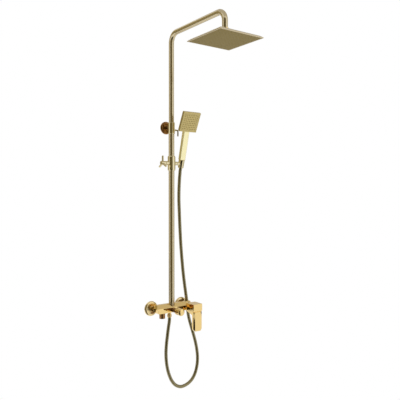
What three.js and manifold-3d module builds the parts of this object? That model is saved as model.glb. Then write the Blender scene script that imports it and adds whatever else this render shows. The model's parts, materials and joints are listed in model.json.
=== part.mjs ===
// Rainfall shower column: a wall mixer, a telescopic riser with a gooseneck and a square rain head,
// and a sliding holder that carries a square hand shower on its hose.
// Millimetres. +X runs to the right along the wall, -Y out of the wall, +Z up.
// The origin is on the wall, midway between the two water inlets.
import * as THREE from "three";
import { mergeVertices } from "three/addons/utils/BufferGeometryUtils.js";
import Module from "manifold-3d";

const wasm = await Module();
wasm.setup();

// Clearances
const gap = 0.4; // between pieces that touch or slide
const face = 0.3; // between two faces that meet
const seat = 0.8; // round a loose insert

// Inlets
const inletSpacing = 150;
const inletInset = 9; // how far each offset union brings its end towards the middle
const unionRadius = 10.5;
const unionWall = 3;
const unionCollar = 1.8;
const rosetteRadius = 31;
const rosetteThick = 8;
const unionNutRadius = 15;
const unionNutLength = 15.7;
const washerThick = 2.4;
const portDeep = 4; // recess in the body behind each washer

// Mixer body
const bodyBack = 30; // distance from the wall to its back
const bodyDepth = 30;
const bodyTop = 20;
const bodyHeight = 35;
const bodyLeft = 80; // from the middle to the left end
const bodyRight = 97;
const bodyBevel = 14; // the long sloped edge at the top front
const leftPoint = 10; // how far the ridge reaches past the top and bottom edges
const rightPoint = 3;

// Cartridge and its handle
const cartridgeAcross = 79.5;
const bossRadius = 17;
const bossLength = 4;
const cartridgeRadius = 9.2;
const bonnetWall = 1.3;
const domeRadius = 14.6;
const domeClear = 1.3; // room for the handle to rock over the dome
const pivotAhead = 24; // from the front of the body to the lever's pivot
const stemSide = 6;
const stemPinRadius = 1.2;
const handleWidth = 44;
const handleCapBelow = 12.5; // cap's lower edge under the cartridge axis
const handleSideBelow = 17.5;
const handleHeelBelow = 28;
const handleStart = 13; // from the front of the body to the back of the handle
const handleDepth = 52;
const leverThick = 12;
const leverDrop = 95.5; // tip of the lever under the cartridge axis
const leverEdge = 8;
const leverEdgeDeep = 3;
const grooveHeight = 2.5;
const grooveDeep = 2;

// Diverter
const diverterDrop = 7; // its axis under the middle of the body
const diverterRadius = 6.1;
const diverterBonnetRadius = 10;
const diverterBonnetLength = 28;
const diverterStemRadius = 3;
const knobRadius = 15;
const knobLength = 35;
const knobDome = 6;
const knobGroove = 1.5;

// Outlets under the body
const outletAcross = -46.5;
const outletRadius = 12.3;
const outletLength = 22;
const outletWall = 2.6;
const hoseOutletAcross = -11;
const nippleRadius = 6.2;
const nippleLength = 16;
const hoseNutRadius = 9.4;
const hoseNutLength = 14;

// Riser
const riserOut = 45; // its axis from the wall
const riserRadius = 12.3;
const riserWall = 0.8;
const riserSocketDeep = 16;
const riserTop = 741;
const tubeRadius = riserRadius - 1.2; // slides inside the riser
const tubeWall = 0.9;
const tubeInside = 210; // length of the upper tube held inside the riser
const seamHeight = 1008;

// Bracket
const bracketHeight = 757;
const bracketLength = 48;
const bracketWall = 1.7;
const bracketArmRadius = 9;
const bracketArmRise = 5; // its arm above the middle of the collar
const bracketRosetteRadius = 27;
const bracketRosetteThick = 8;
const bracketStudRadius = 4;
const lockDrop = 7; // lock lever under the middle of the collar
const lockRadius = 3;
const lockBossRadius = 5.2;
const lockBossLength = 3;
const lockReach = 32.4;
const lockTail = 25;
const lockBend = 6;

// Gooseneck and rain head
const armHeight = 1150;
const armReach = 358;
const armBend = 40;
const dropLength = 30; // straight end below the far bend
const fittingRise = 7; // how far the end fitting goes up inside the arm
const spigotLength = 46;
const swivelNutRadius = 13.5;
const swivelNutLength = 23.5;
const swivelNutGrip = 4; // how much of the arm the nut covers
const ballRadius = 8.5;
const ballBelow = 10; // ball centre under the end of the arm
const ballNeck = 4.6;
const linerWall = 1.4;
const headSide = 198;
const headRim = 2;
const headRise = 7;
const headInset = 9;
const headBossRadius = 11;
const headBossHeight = 4;
const headFaceInset = 5;
const headFaceDeep = 1.6;
const headDrop = 30; // underside of the head below the ball centre

// Slider
const sliderHeight = 610;
const sleeveRadius = 16.5;
const sleeveLength = 62;
const sleeveBevel = 4;
const shaftRadius = 8.7;
const clampBossEnd = 30; // from the riser axis
const clampHubEnd = 52;
const clampScrewRadius = 4;
const padThick = 1.6;
const spokeRadius = 4.2;
const spokeLength = 31;
const spokeCount = 3;
const pivotShaftRadius = 7.8;
const pivotShaftEnd = 24;
const pivotPinRadius = 3;

// Holder and hand shower
const lean = THREE.MathUtils.degToRad(15);
const holderAcross = 49;
const cupHeight = 34;
const cupTopRadius = 13.5;
const cupBottomRadius = 12.2;
const cupWall = 2;
const cupSlot = 15.2;
const coneWall = 4;
const gripWidth = 27;
const gripDeep = 16;
const gripLength = 126;
const gripBevel = 2.5;
const plateSide = 85;
const plateThick = 12;
const plateTilt = THREE.MathUtils.degToRad(11);
const plateBevel = 2;
const plateAhead = 8; // middle of the plate in front of the grip's axis
const faceInset = 7;
const faceThick = 1.5;

// Hose
const hoseRadius = 7;
const hoseSides = 10;
const hoseSteps = 76;

const fine = 20; // sides of a large round piece
const coarse = 12; // sides of a small one

// Finishes
const gold = { color: 0xd9b566, roughness: 0.16, metalness: 1 };
const tubeGold = { color: 0xd2b06a, roughness: 0.14, metalness: 1 };
const hoseGold = { color: 0x8a7f5c, roughness: 0.38, metalness: 1 };
const steel = { color: 0xa9a9a6, roughness: 0.35, metalness: 1 };
const platedPlastic = { color: 0xdcbc74, roughness: 0.2, metalness: 0.9 };
const sealRubber = { color: 0x26241f, roughness: 0.85, metalness: 0 };
const whitePlastic = { color: 0xd8d4c8, roughness: 0.6, metalness: 0 };
const facePlate = { color: 0xb7a671, roughness: 0.42, metalness: 0.8 };

// ---- Building shapes ----

// A geometry as a solid that can be cut or joined.
function toSolid(geometry) {
  const bare = geometry.index ? geometry.toNonIndexed() : geometry.clone();
  bare.deleteAttribute("normal");
  bare.deleteAttribute("uv");
  const merged = mergeVertices(bare, 1e-3);
  const vertProperties = merged.attributes.position.array;
  const triVerts = new Uint32Array(merged.index.array);
  return new wasm.Manifold(new wasm.Mesh({ numProp: 3, vertProperties, triVerts }));
}

// A solid as a three.js geometry.
function toGeometry(solid) {
  const mesh = solid.getMesh();
  const positions = new Float32Array(mesh.numVert * 3);
  for (let i = 0; i < mesh.numVert; i++) {
    const start = i * mesh.numProp;
    positions.set(mesh.vertProperties.subarray(start, start + 3), i * 3);
  }
  const geometry = new THREE.BufferGeometry();
  geometry.setAttribute("position", new THREE.BufferAttribute(positions, 3));
  geometry.setIndex(new THREE.BufferAttribute(mesh.triVerts, 1));
  return geometry;
}

function cut(base, ...tools) {
  return toGeometry(tools.reduce((left, tool) => left.subtract(toSolid(tool)), toSolid(base)));
}

function join(base, ...others) {
  return toGeometry(others.reduce((sum, other) => sum.add(toSolid(other)), toSolid(base)));
}

function common(base, other) {
  return toGeometry(toSolid(base).intersect(toSolid(other)));
}

// A turned piece about Z. The outline is [radius, height] pairs, up the outside and down the inside.
function turned(outline, sides = fine) {
  const points = outline.map(([radius, height]) => new THREE.Vector2(radius, height));
  return new THREE.LatheGeometry(points, sides).rotateX(Math.PI / 2);
}

function rod(radius, from, to, sides = coarse) {
  return turned([[0, from], [radius, from], [radius, to], [0, to]], sides);
}

function pipe(inner, outer, from, to, sides = fine) {
  return turned([[inner, from], [outer, from], [outer, to], [inner, to], [inner, from]], sides);
}

// A rod with softened ends.
function bevelledRod(radius, from, to, bevel, sides = coarse) {
  const slim = radius - bevel;
  return turned([
    [0, from],
    [slim, from],
    [radius, from + bevel],
    [radius, to - bevel],
    [slim, to],
    [0, to],
  ], sides);
}

function outlineShape(points) {
  return new THREE.Shape(points.map(([x, y]) => new THREE.Vector2(x, y)));
}

// A bar along Z with the given outline in X and Y.
function prism(points, from, to) {
  const geometry = new THREE.ExtrudeGeometry(outlineShape(points), { depth: to - from, bevelEnabled: false });
  return geometry.translate(0, 0, from);
}

// A bar along X with the given outline in Y and Z.
function barAcross(points, from, to) {
  const turn = new THREE.Matrix4().makeBasis(
    new THREE.Vector3(0, 1, 0),
    new THREE.Vector3(0, 0, 1),
    new THREE.Vector3(1, 0, 0),
  );
  return prism(points, from, to).applyMatrix4(turn);
}

function block(x0, x1, y0, y1, z0, z1) {
  const geometry = new THREE.BoxGeometry(x1 - x0, y1 - y0, z1 - z0);
  return geometry.translate((x0 + x1) / 2, (y0 + y1) / 2, (z0 + z1) / 2);
}

// Turns a piece made about Z so that it points out of the wall, or to the right.
const outward = (geometry) => geometry.rotateX(Math.PI / 2);
const rightward = (geometry) => geometry.rotateY(Math.PI / 2);

// A path whose stations each hold a place and a heading, so that a straight stretch takes one step.
class Stations extends THREE.Curve {
  constructor(stations) {
    super();
    this.stations = stations;
  }
  at(t) {
    return this.stations[Math.round(t * (this.stations.length - 1))];
  }
  getPoint(t) {
    return this.at(t).place.clone();
  }
  getPointAt(t) {
    return this.at(t).place.clone();
  }
  getTangentAt(t) {
    return this.at(t).heading.clone();
  }
}

// Stations along a line with round corners.
function bentPath(corners, radius, stepsPerBend) {
  const stations = [];
  const first = corners[1].clone().sub(corners[0]).normalize();
  stations.push({ place: corners[0].clone(), heading: first });
  for (let i = 1; i < corners.length - 1; i++) {
    const before = corners[i].clone().sub(corners[i - 1]).normalize();
    const after = corners[i + 1].clone().sub(corners[i]).normalize();
    const centre = corners[i].clone().addScaledVector(before, -radius).addScaledVector(after, radius);
    for (let step = 0; step <= stepsPerBend; step++) {
      const angle = (Math.PI / 2) * (step / stepsPerBend);
      const place = centre.clone();
      place.addScaledVector(after, -radius * Math.cos(angle));
      place.addScaledVector(before, radius * Math.sin(angle));
      const heading = before.clone().multiplyScalar(Math.cos(angle));
      heading.addScaledVector(after, Math.sin(angle));
      stations.push({ place, heading });
    }
  }
  const last = corners[corners.length - 1];
  const end = last.clone().sub(corners[corners.length - 2]).normalize();
  stations.push({ place: last.clone(), heading: end });
  return new Stations(stations);
}

function ringShape(radius, sides, bore = 0) {
  const circle = (r) => new THREE.EllipseCurve(0, 0, r, r).getPoints(sides).slice(0, sides);
  const shape = new THREE.Shape(circle(radius));
  if (bore > 0) {
    shape.holes.push(new THREE.Path(circle(bore)));
  }
  return shape;
}

function swept(shape, path, steps) {
  return new THREE.ExtrudeGeometry(shape, { steps, extrudePath: path, bevelEnabled: false });
}

// ---- Placing pieces ----

const root = new THREE.Group();

function frame(parent, x, y, z, tilt = 0) {
  const group = new THREE.Group();
  group.position.set(x, y, z);
  group.rotation.x = tilt;
  parent.add(group);
  return group;
}

function piece(parent, name, geometry, finish) {
  const mesh = new THREE.Mesh(geometry, new THREE.MeshStandardMaterial(finish));
  mesh.name = name;
  parent.add(mesh);
}

// ---- Inlets: built about an inlet's own axis, which points out of the wall ----

const unionBore = unionRadius - unionWall;
const collarRadius = unionRadius + unionCollar;
const nutFront = bodyBack - face;
const nutBack = nutFront - unionNutLength;
const washerBack = nutFront - face - washerThick;
const collarFront = washerBack - face;
const collarBack = nutBack + unionNutLength * 0.4 + gap;
const unionJoin = nutBack - 1.5; // front of the wall end

function rosette(radius, thick, bore) {
  return turned([
    [bore, 0],
    [radius, 0],
    [radius, thick * 0.35],
    [radius - 1.5, thick * 0.6],
    [radius * 0.7, thick],
    [bore, thick],
    [bore, 0],
  ], fine + 8);
}

// The offset union: a wall end, and a body end that lies nearer the middle by the given shift.
function inletUnion(shift) {
  const wallEnd = rod(unionRadius, 0, unionJoin, fine);
  const bodyEnd = rod(unionRadius, unionJoin - unionWall, collarFront, fine).translate(shift, 0, 0);
  const collar = rod(collarRadius, collarBack, collarFront, fine).translate(shift, 0, 0);
  const wallBore = rod(unionBore, -1, unionJoin - 1, fine);
  const bodyBore = rod(unionBore, unionJoin - 2, collarFront + 1, fine).translate(shift, 0, 0);
  return cut(join(wallEnd, bodyEnd, collar), wallBore, bodyBore);
}

function unionNut() {
  const hex = rod(unionNutRadius, nutBack, nutFront, 6);
  const hole = rod(unionRadius + gap, nutBack - 1, nutFront + 1, fine);
  const socket = rod(collarRadius + gap, collarBack - gap, nutFront + 1, fine);
  return cut(hex, hole, socket);
}

function buildInlet(side, hand) {
  const inlet = frame(root, hand * inletSpacing / 2, 0, 0);
  const shift = -hand * inletInset;
  const cover = rosette(rosetteRadius, rosetteThick, unionRadius + gap);
  piece(inlet, "inlet_rosette_" + side, outward(cover), gold);
  piece(inlet, "inlet_union_" + side, outward(inletUnion(shift)), gold);
  piece(inlet, "union_nut_" + side, outward(unionNut()).translate(shift, 0, 0), gold);
  const washer = pipe(unionBore, collarRadius, washerBack, washerBack + washerThick);
  piece(inlet, "inlet_washer_" + side, outward(washer).translate(shift, 0, 0), sealRubber);
}

// ---- Mixer ----

const bodyFront = bodyBack + bodyDepth;
const bodyBottom = bodyTop - bodyHeight;
const bodyMiddle = (bodyTop + bodyBottom) / 2;
const bossFront = bodyFront + bossLength;
const cartridgeBore = cartridgeRadius + gap;
const cartridgeBack = bodyBack + 6;
const diverterBore = diverterRadius + gap;
const diverterHeight = bodyMiddle - diverterDrop;
const valveBack = bodyBack + 6;
const socketFloor = bodyTop - riserSocketDeep;

// A cutting or boss rod that points out of the wall at a place on the body.
function outwardRod(radius, across, height, from, to, sides = fine) {
  return outward(rod(radius, from, to, sides)).translate(across, 0, height);
}

function mixerBody() {
  const across = barAcross([
    [-bodyBack, bodyBottom],
    [-bodyBack, bodyTop],
    [-bodyFront + bodyBevel, bodyTop],
    [-bodyFront, bodyTop - bodyBevel],
    [-bodyFront, bodyBottom],
  ], -bodyLeft, bodyRight);
  const ridge = bodyTop - bodyBevel;
  const ends = outward(prism([
    [-bodyLeft, ridge],
    [-bodyLeft + leftPoint, bodyBottom],
    [bodyRight - rightPoint, bodyBottom],
    [bodyRight, ridge],
    [bodyRight - rightPoint, bodyTop],
    [-bodyLeft + leftPoint, bodyTop],
  ], bodyBack - 1, bodyFront + 1));
  const boss = outwardRod(bossRadius, cartridgeAcross, bodyMiddle, bodyBack + 6, bossFront);
  const tools = [
    outwardRod(cartridgeBore, cartridgeAcross, bodyMiddle, cartridgeBack - face, bossFront + 1),
    outwardRod(diverterBore, 0, diverterHeight, valveBack - face, bodyFront + 1),
    rod(riserRadius + gap, socketFloor - face, bodyTop + 1, fine).translate(0, -riserOut, 0),
  ];
  for (const side of [-1, 1]) {
    const port = side * (inletSpacing / 2 - inletInset);
    tools.push(outwardRod(unionBore, port, 0, bodyBack - 1, bodyBack + portDeep, fine));
  }
  return cut(join(common(across, ends), boss), ...tools);
}

const bonnetBack = bossFront + face;
const pivotOut = bodyFront + pivotAhead;
const bonnetNeck = cartridgeBore + bonnetWall;
const domeReach = Math.sqrt(domeRadius ** 2 - bonnetNeck ** 2);
const bonnetFront = pivotOut + domeReach;

function cartridgeBonnet() {
  const outline = [[cartridgeBore, bonnetBack], [bonnetNeck, bonnetBack]];
  const steps = 8;
  for (let i = 0; i <= steps; i++) {
    const along = -domeReach + (2 * domeReach * i) / steps;
    outline.push([Math.sqrt(domeRadius ** 2 - along ** 2), pivotOut + along]);
  }
  outline.push([cartridgeBore, bonnetFront], [cartridgeBore, bonnetBack]);
  return turned(outline);
}

const carrierInner = 6.2;
const carrierBack = pivotOut - 7.5;
const cartridgeFront = carrierBack - face;
const stemTail = pivotOut - 4.8;
const socketBack = bonnetFront + 5;
const stemFront = socketBack + 6;

function cartridgeCarrier() {
  const ring = pipe(carrierInner, cartridgeRadius - 0.1, carrierBack, pivotOut + 6, fine);
  const cross = rightward(rod(stemPinRadius + gap, -12, 12)).translate(0, 0, pivotOut);
  return cut(ring, cross);
}

function cartridgeStem() {
  const ball = bevelledRod(4.6, stemTail, pivotOut + 4.8, 2);
  const half = stemSide / 2;
  const shank = block(-half, half, -half, half, pivotOut, stemFront);
  const cross = rightward(rod(stemPinRadius + gap, -12, 12)).translate(0, 0, pivotOut);
  return cut(join(ball, shank), cross);
}

const handleBack = bodyFront + handleStart;
const handleFront = handleBack + handleDepth;
const handleTop = bodyTop - bodyMiddle; // above the cartridge axis

// The handle about the cartridge axis: a cap, a sloped heel and a lever that hangs from it.
function mixerHandle() {
  const leverFront = handleFront - face;
  const side = barAcross([
    [-handleBack, -handleSideBelow],
    [-handleBack, handleTop],
    [-handleFront, handleTop],
    [-handleFront, -handleCapBelow],
    [-handleFront + grooveDeep, -handleCapBelow],
    [-handleFront + grooveDeep, -handleCapBelow - grooveHeight],
    [-leverFront, -handleCapBelow - grooveHeight],
    [-leverFront, -leverDrop],
    [-leverFront + leverThick, -leverDrop],
    [-leverFront + leverThick, -handleHeelBelow],
  ], -handleWidth / 2, handleWidth / 2);
  const edge = handleWidth / 2;
  const tools = [];
  for (const hand of [-1, 1]) {
    const corner = [
      [hand * (edge + 1), -leverFront + leverEdgeDeep],
      [hand * edge, -leverFront + leverEdgeDeep],
      [hand * (edge - leverEdge), -leverFront],
      [hand * (edge - leverEdge), -leverFront - 1],
      [hand * (edge + 1), -leverFront - 1],
    ];
    const outline = hand > 0 ? corner : corner.reverse();
    tools.push(prism(outline, -leverDrop - 1, -handleCapBelow - grooveHeight));
    const tip = leverEdge;
    const trim = [
      [hand * (edge - tip), -leverDrop - 1],
      [hand * (edge + 1), -leverDrop - 1],
      [hand * (edge + 1), -leverDrop + tip + 1],
    ];
    const flat = hand > 0 ? trim : trim.reverse();
    tools.push(outward(prism(flat, handleBack, handleFront + 1)));
  }
  tools.push(outward(rod(domeRadius + domeClear, handleBack - 1, socketBack, fine)));
  const half = stemSide / 2 + gap;
  tools.push(block(-half, half, -stemFront - face, -bonnetFront, -half, half));
  tools.push(rod(grubRadius + gap, -handleHeelBelow - 20, 0).translate(0, -grubOut, 0));
  return cut(side, ...tools);
}

const grubRadius = 2.5;
const grubLength = 8;
const grubOut = (socketBack + stemFront) / 2;

function buildMixer() {
  piece(root, "mixer_body", mixerBody(), gold);
  const cartridge = frame(root, cartridgeAcross, 0, bodyMiddle);
  const core = rod(cartridgeRadius, cartridgeBack, cartridgeFront, fine);
  piece(cartridge, "cartridge_body", outward(core), whitePlastic);
  piece(cartridge, "cartridge_bonnet", outward(cartridgeBonnet()), gold);
  piece(cartridge, "cartridge_carrier", outward(cartridgeCarrier()), whitePlastic);
  const pinHalf = cartridgeRadius - 0.4;
  const pin = rightward(rod(stemPinRadius, -pinHalf, pinHalf)).translate(0, -pivotOut, 0);
  piece(cartridge, "stem_pin", pin, steel);
  piece(cartridge, "cartridge_stem", outward(cartridgeStem()), steel);
  piece(cartridge, "mixer_handle", mixerHandle(), gold);
  const grubTop = -stemSide / 2 - face;
  const grub = bevelledRod(grubRadius, grubTop - grubLength, grubTop, 0.4).translate(0, -grubOut, 0);
  piece(cartridge, "handle_grub_screw", grub, steel);
}

const diverterBonnetBack = bodyFront + face;
const diverterBonnetFront = diverterBonnetBack + diverterBonnetLength;
const knobBack = diverterBonnetFront + 1.5;
const knobFront = knobBack + knobLength;
const valveFront = diverterBonnetFront - 8;
const diverterStemFront = knobBack + 13;

function diverterKnob() {
  const outline = [
    [diverterStemRadius + gap, knobBack],
    [knobRadius - 1, knobBack],
    [knobRadius, knobBack + 1],
  ];
  const grooveStart = knobBack + 12;
  outline.push([knobRadius, grooveStart], [knobRadius - knobGroove, grooveStart]);
  outline.push([knobRadius - knobGroove, grooveStart + 3], [knobRadius, grooveStart + 3]);
  const domeStart = knobFront - knobDome;
  const steps = 4;
  for (let i = 0; i <= steps; i++) {
    const angle = (Math.PI / 2) * (i / steps);
    outline.push([knobRadius * Math.cos(angle), domeStart + knobDome * Math.sin(angle)]);
  }
  const holeEnd = diverterStemFront + face;
  outline.push([0, holeEnd], [diverterStemRadius + gap, holeEnd], [diverterStemRadius + gap, knobBack]);
  return turned(outline);
}

function buildDiverter() {
  const diverter = frame(root, 0, 0, diverterHeight);
  const valve = rod(diverterRadius, valveBack, valveFront, fine);
  piece(diverter, "diverter_valve", outward(valve), whitePlastic);
  const bonnet = pipe(diverterBore, diverterBonnetRadius, diverterBonnetBack, diverterBonnetFront);
  piece(diverter, "diverter_bonnet", outward(bonnet), gold);
  const stem = rod(diverterStemRadius, valveFront + face, diverterStemFront);
  piece(diverter, "diverter_stem", outward(stem), steel);
  piece(diverter, "diverter_knob", outward(diverterKnob()), gold);
}

const outletTop = bodyBottom - face;
const hoseOutletFoot = outletTop - nippleLength + 9 - hoseNutLength;

function buildOutlets() {
  const spout = frame(root, outletAcross, -riserOut, outletTop);
  const bore = outletRadius - outletWall;
  const housing = turned([
    [0, -3],
    [bore, -3],
    [bore, -outletLength],
    [outletRadius - 0.8, -outletLength],
    [outletRadius, -outletLength + 1],
    [outletRadius, 0],
    [0, 0],
  ]);
  piece(spout, "outlet_housing", housing, gold);
  const aeratorTop = -outletLength + 13;
  const aerator = rod(bore - gap, -outletLength + 1.5, aeratorTop, fine);
  piece(spout, "outlet_aerator", aerator, whitePlastic);

  const port = frame(root, hoseOutletAcross, -riserOut, outletTop);
  piece(port, "hose_nipple", pipe(nippleRadius - 2, nippleRadius, -nippleLength, 0), gold);
  const nutTop = -nippleLength + 9;
  const nutBottom = hoseOutletFoot - outletTop;
  const nut = turned([
    [nippleRadius + gap, nutBottom],
    [hoseNutRadius - 1, nutBottom],
    [hoseNutRadius, nutBottom + 1],
    [hoseNutRadius, nutTop - 1],
    [hoseNutRadius - 1, nutTop],
    [nippleRadius + gap, nutTop],
    [nippleRadius + gap, nutBottom],
  ]);
  piece(port, "hose_nut_lower", nut, gold);
  const washerTop = -nippleLength - face;
  const washer = pipe(nippleRadius - 2, nippleRadius, washerTop - 2, washerTop);
  piece(port, "hose_washer_lower", washer, sealRubber);
}

// ---- Riser, bracket and height lock ----

const riserBore = riserRadius - riserWall;
const bracketTop = bracketHeight + bracketLength / 2;
const bracketFoot = bracketHeight - bracketLength / 2;
const bracketArmHeight = bracketHeight + bracketArmRise;
const studLength = 18;
const collarWide = riserRadius + gap;
const collarSlim = tubeRadius + gap;
const collarOuter = collarWide + bracketWall;
const collarStep = riserTop + face;
const sealHeight = bracketTop - 16;
const sealThick = 4;
const sealRadius = collarWide + 0.1;
const lockHeight = bracketHeight - lockDrop;
const lockBossFace = collarOuter + lockBossLength;

// The collar with its arm to the wall and its lock boss, then the bores through all three.
function wallBracket() {
  const collar = bevelledRod(collarOuter, bracketFoot, bracketTop, 1, fine).translate(0, -riserOut, 0);
  const arm = outwardRod(bracketArmRadius, 0, bracketArmHeight, 1, riserOut);
  const boss = rightward(rod(lockBossRadius, 0, lockBossFace)).translate(0, -riserOut, lockHeight);
  const grooveTop = sealHeight + sealThick + gap;
  const bores = [
    rod(collarWide, bracketFoot - 1, collarStep, fine).translate(0, -riserOut, 0),
    rod(collarSlim, bracketFoot, bracketTop + 1, fine).translate(0, -riserOut, 0),
    rod(collarWide + seat, sealHeight - gap, grooveTop, fine).translate(0, -riserOut, 0),
    rightward(rod(lockRadius + gap, 0, lockBossFace + 1)).translate(0, -riserOut, lockHeight),
    outwardRod(bracketStudRadius + gap, 0, bracketArmHeight, 0, studLength + 1, coarse),
  ];
  return cut(join(collar, arm, boss), ...bores);
}

const padFace = tubeRadius + 0.35;
const padBack = padFace + padThick;

// The lock lever: a screw along X with a tail bent down, as the thumb turns it.
function lockLever() {
  const corners = [
    new THREE.Vector3(padBack + face, 0, 0),
    new THREE.Vector3(lockReach, 0, 0),
    new THREE.Vector3(lockReach, 0, -lockTail),
  ];
  const path = bentPath(corners, lockBend, 5);
  return swept(ringShape(lockRadius, 12), path, path.stations.length - 1);
}

function buildRiser() {
  const column = frame(root, 0, -riserOut, 0);
  piece(column, "riser_tube", pipe(riserBore, riserRadius, socketFloor, riserTop), tubeGold);
  const tubeFoot = riserTop - tubeInside;
  piece(column, "upper_tube", pipe(tubeRadius - tubeWall, tubeRadius, tubeFoot, seamHeight - face), tubeGold);
  const seal = pipe(tubeRadius + 0.25, sealRadius, sealHeight, sealHeight + sealThick);
  piece(column, "telescope_seal", seal, sealRubber);
  piece(root, "wall_bracket", wallBracket(), gold);
  const plate = frame(root, 0, 0, bracketArmHeight);
  const bracketCover = rosette(bracketRosetteRadius, bracketRosetteThick, bracketArmRadius + gap);
  piece(plate, "bracket_rosette", outward(bracketCover), gold);
  piece(plate, "bracket_stud", outward(rod(bracketStudRadius, 0, studLength)), steel);
  const lock = frame(root, 0, -riserOut, lockHeight);
  piece(lock, "lock_pad", rightward(rod(lockRadius, padFace, padBack)), whitePlastic);
  piece(lock, "height_lock_lever", lockLever(), gold);
}

// ---- Gooseneck and rain head ----

const tubeBore = tubeRadius - tubeWall;
const dropEnd = armHeight - armBend - dropLength;
const ballHeight = dropEnd - ballBelow;
const headBottom = ballHeight - headDrop;
const headTop = headBottom + headRim + headRise;
const nutTopHeight = dropEnd + swivelNutGrip;
const nutFoot = nutTopHeight - swivelNutLength;
const nutBore = tubeBore + 0.2;
const neckHole = ballRadius - 1.1;
const linerInner = ballRadius + gap;
const linerOuter = linerInner + linerWall;
const nutSphere = linerOuter + gap;

function gooseneck() {
  const corners = [
    new THREE.Vector3(0, 0, seamHeight),
    new THREE.Vector3(0, 0, armHeight),
    new THREE.Vector3(0, -armReach, armHeight),
    new THREE.Vector3(0, -armReach, dropEnd),
  ];
  const path = bentPath(corners, armBend, 7);
  return swept(ringShape(tubeRadius, 18, tubeBore), path, path.stations.length - 1);
}

// Points on a sphere about the ball centre, from one height to another.
function sphereArc(radius, from, to, steps) {
  const points = [];
  for (let i = 0; i <= steps; i++) {
    const height = from + ((to - from) * i) / steps;
    points.push([Math.sqrt(radius ** 2 - height ** 2), height]);
  }
  return points;
}

// The nut about the ball centre: a spherical seat below, a plain bore above.
function swivelNut() {
  const top = nutTopHeight - ballHeight;
  const foot = nutFoot - ballHeight;
  const lip = -Math.sqrt(nutSphere ** 2 - neckHole ** 2);
  return turned([
    [neckHole + 0.9, foot],
    [swivelNutRadius - 1, foot],
    [swivelNutRadius, foot + 1],
    [swivelNutRadius, top - 1],
    [swivelNutRadius - 1, top],
    [tubeRadius + gap, top],
    [tubeRadius + gap, ballBelow - face],
    [nutBore, ballBelow - face],
    [nutBore, 3],
    ...sphereArc(nutSphere, 1.5, lip, 6),
    [neckHole + 0.9, foot],
  ]);
}

// A thin liner round the ball's middle.
function ballLiner() {
  const low = -3.5;
  const high = 1.5;
  const outer = sphereArc(linerOuter, low, high, 3);
  const inner = sphereArc(linerInner, high, low, 3);
  return turned([...outer, ...inner, outer[0]]);
}

const bossTop = headTop - ballHeight + headBossHeight;
const socketThread = 6;

function swivelBall() {
  const neckTop = -Math.sqrt(ballRadius ** 2 - ballNeck ** 2);
  const neckFoot = bossTop - socketThread;
  const neck = [[0, neckFoot], [ballNeck, neckFoot]];
  return turned([...neck, ...sphereArc(ballRadius, neckTop, ballRadius, 8)], fine);
}

// A four-sided frustum about Z.
function frustum(bottomSide, topSide, from, to) {
  const bottom = bottomSide / 2;
  const top = topSide / 2;
  const slices = [[bottom, from], [top, to]];
  const points = [];
  for (const [half, height] of slices) {
    for (const [x, y] of [[-1, -1], [1, -1], [1, 1], [-1, 1]]) {
      points.push(x * half, y * half, height);
    }
  }
  const geometry = new THREE.BufferGeometry();
  geometry.setAttribute("position", new THREE.Float32BufferAttribute(points, 3));
  const faces = [0, 2, 1, 0, 3, 2, 4, 5, 6, 4, 6, 7];
  for (let i = 0; i < 4; i++) {
    const next = (i + 1) % 4;
    faces.push(i, next, next + 4, i, next + 4, i + 4);
  }
  geometry.setIndex(faces);
  return geometry;
}

// The head's shell about the ball centre: a shallow pan open underneath, with a threaded boss.
function headShell() {
  const low = headBottom - ballHeight;
  const rimTop = low + headRim;
  const top = rimTop + headRise;
  const wall = 1.2;
  const rim = frustum(headSide, headSide, low, rimTop);
  const crown = frustum(headSide, headSide - 2 * headInset, rimTop, top);
  const boss = rod(headBossRadius, rimTop + 3, bossTop, fine);
  const ledge = headSide - 2 * headFaceInset - 4;
  const crownInside = headSide - 2 * headInset - 4 * wall;
  const inside = frustum(ledge, Math.min(ledge, crownInside), low - 1, top - wall);
  const recessSide = headSide - 2 * headFaceInset;
  const recess = frustum(recessSide, recessSide, low - 1, low + headFaceDeep);
  const pad = rod(headBossRadius, top - wall - 3, top, fine);
  const hole = rod(ballNeck + gap, low - 1, bossTop + 1, fine);
  return cut(join(cut(join(rim, crown), inside, recess), boss, pad), hole);
}

function buildHead() {
  const arm = frame(root, 0, -riserOut, 0);
  piece(arm, "gooseneck_arm", gooseneck(), tubeGold);
  const spigotMiddle = seamHeight;
  const half = spigotLength / 2;
  const spigot = pipe(tubeBore - gap - 1.4, tubeBore - gap, spigotMiddle - half, spigotMiddle + half);
  piece(arm, "gooseneck_spigot", spigot, steel);
  const end = frame(root, 0, -riserOut - armReach, ballHeight);
  const fitting = pipe(tubeBore - 2.4, tubeBore - gap, ballBelow - 0.8, ballBelow + fittingRise);
  piece(end, "arm_end_fitting", fitting, steel);
  piece(end, "swivel_nut", swivelNut(), gold);
  const ringFoot = 5;
  const ringInner = Math.sqrt(ballRadius ** 2 - ringFoot ** 2) + gap + 0.2;
  const ring = pipe(ringInner, nutBore - gap, ringFoot, ballBelow - 0.8 - face);
  piece(end, "ball_seat_ring", ring, whitePlastic);
  piece(end, "ball_liner", ballLiner(), whitePlastic);
  piece(end, "swivel_ball", swivelBall(), gold);
  piece(end, "rain_head_shell", headShell(), tubeGold);
  const low = headBottom - ballHeight;
  const faceHalf = headSide / 2 - headFaceInset - gap;
  const plate = block(-faceHalf, faceHalf, -faceHalf, faceHalf, low, low + headFaceDeep - face);
  piece(end, "rain_head_face", plate, facePlate);
}

// ---- Slider, clamp and holder: built about the riser axis at the slider's middle ----

const sleeveBore = riserRadius + gap;
const clampPadTip = riserRadius + 0.5;
const clampPadBack = clampPadTip + padThick;
const clampHubStart = clampBossEnd + face + 0.3;
const clampHubMiddle = (clampHubStart + clampHubEnd) / 2 + 1.7;

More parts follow.
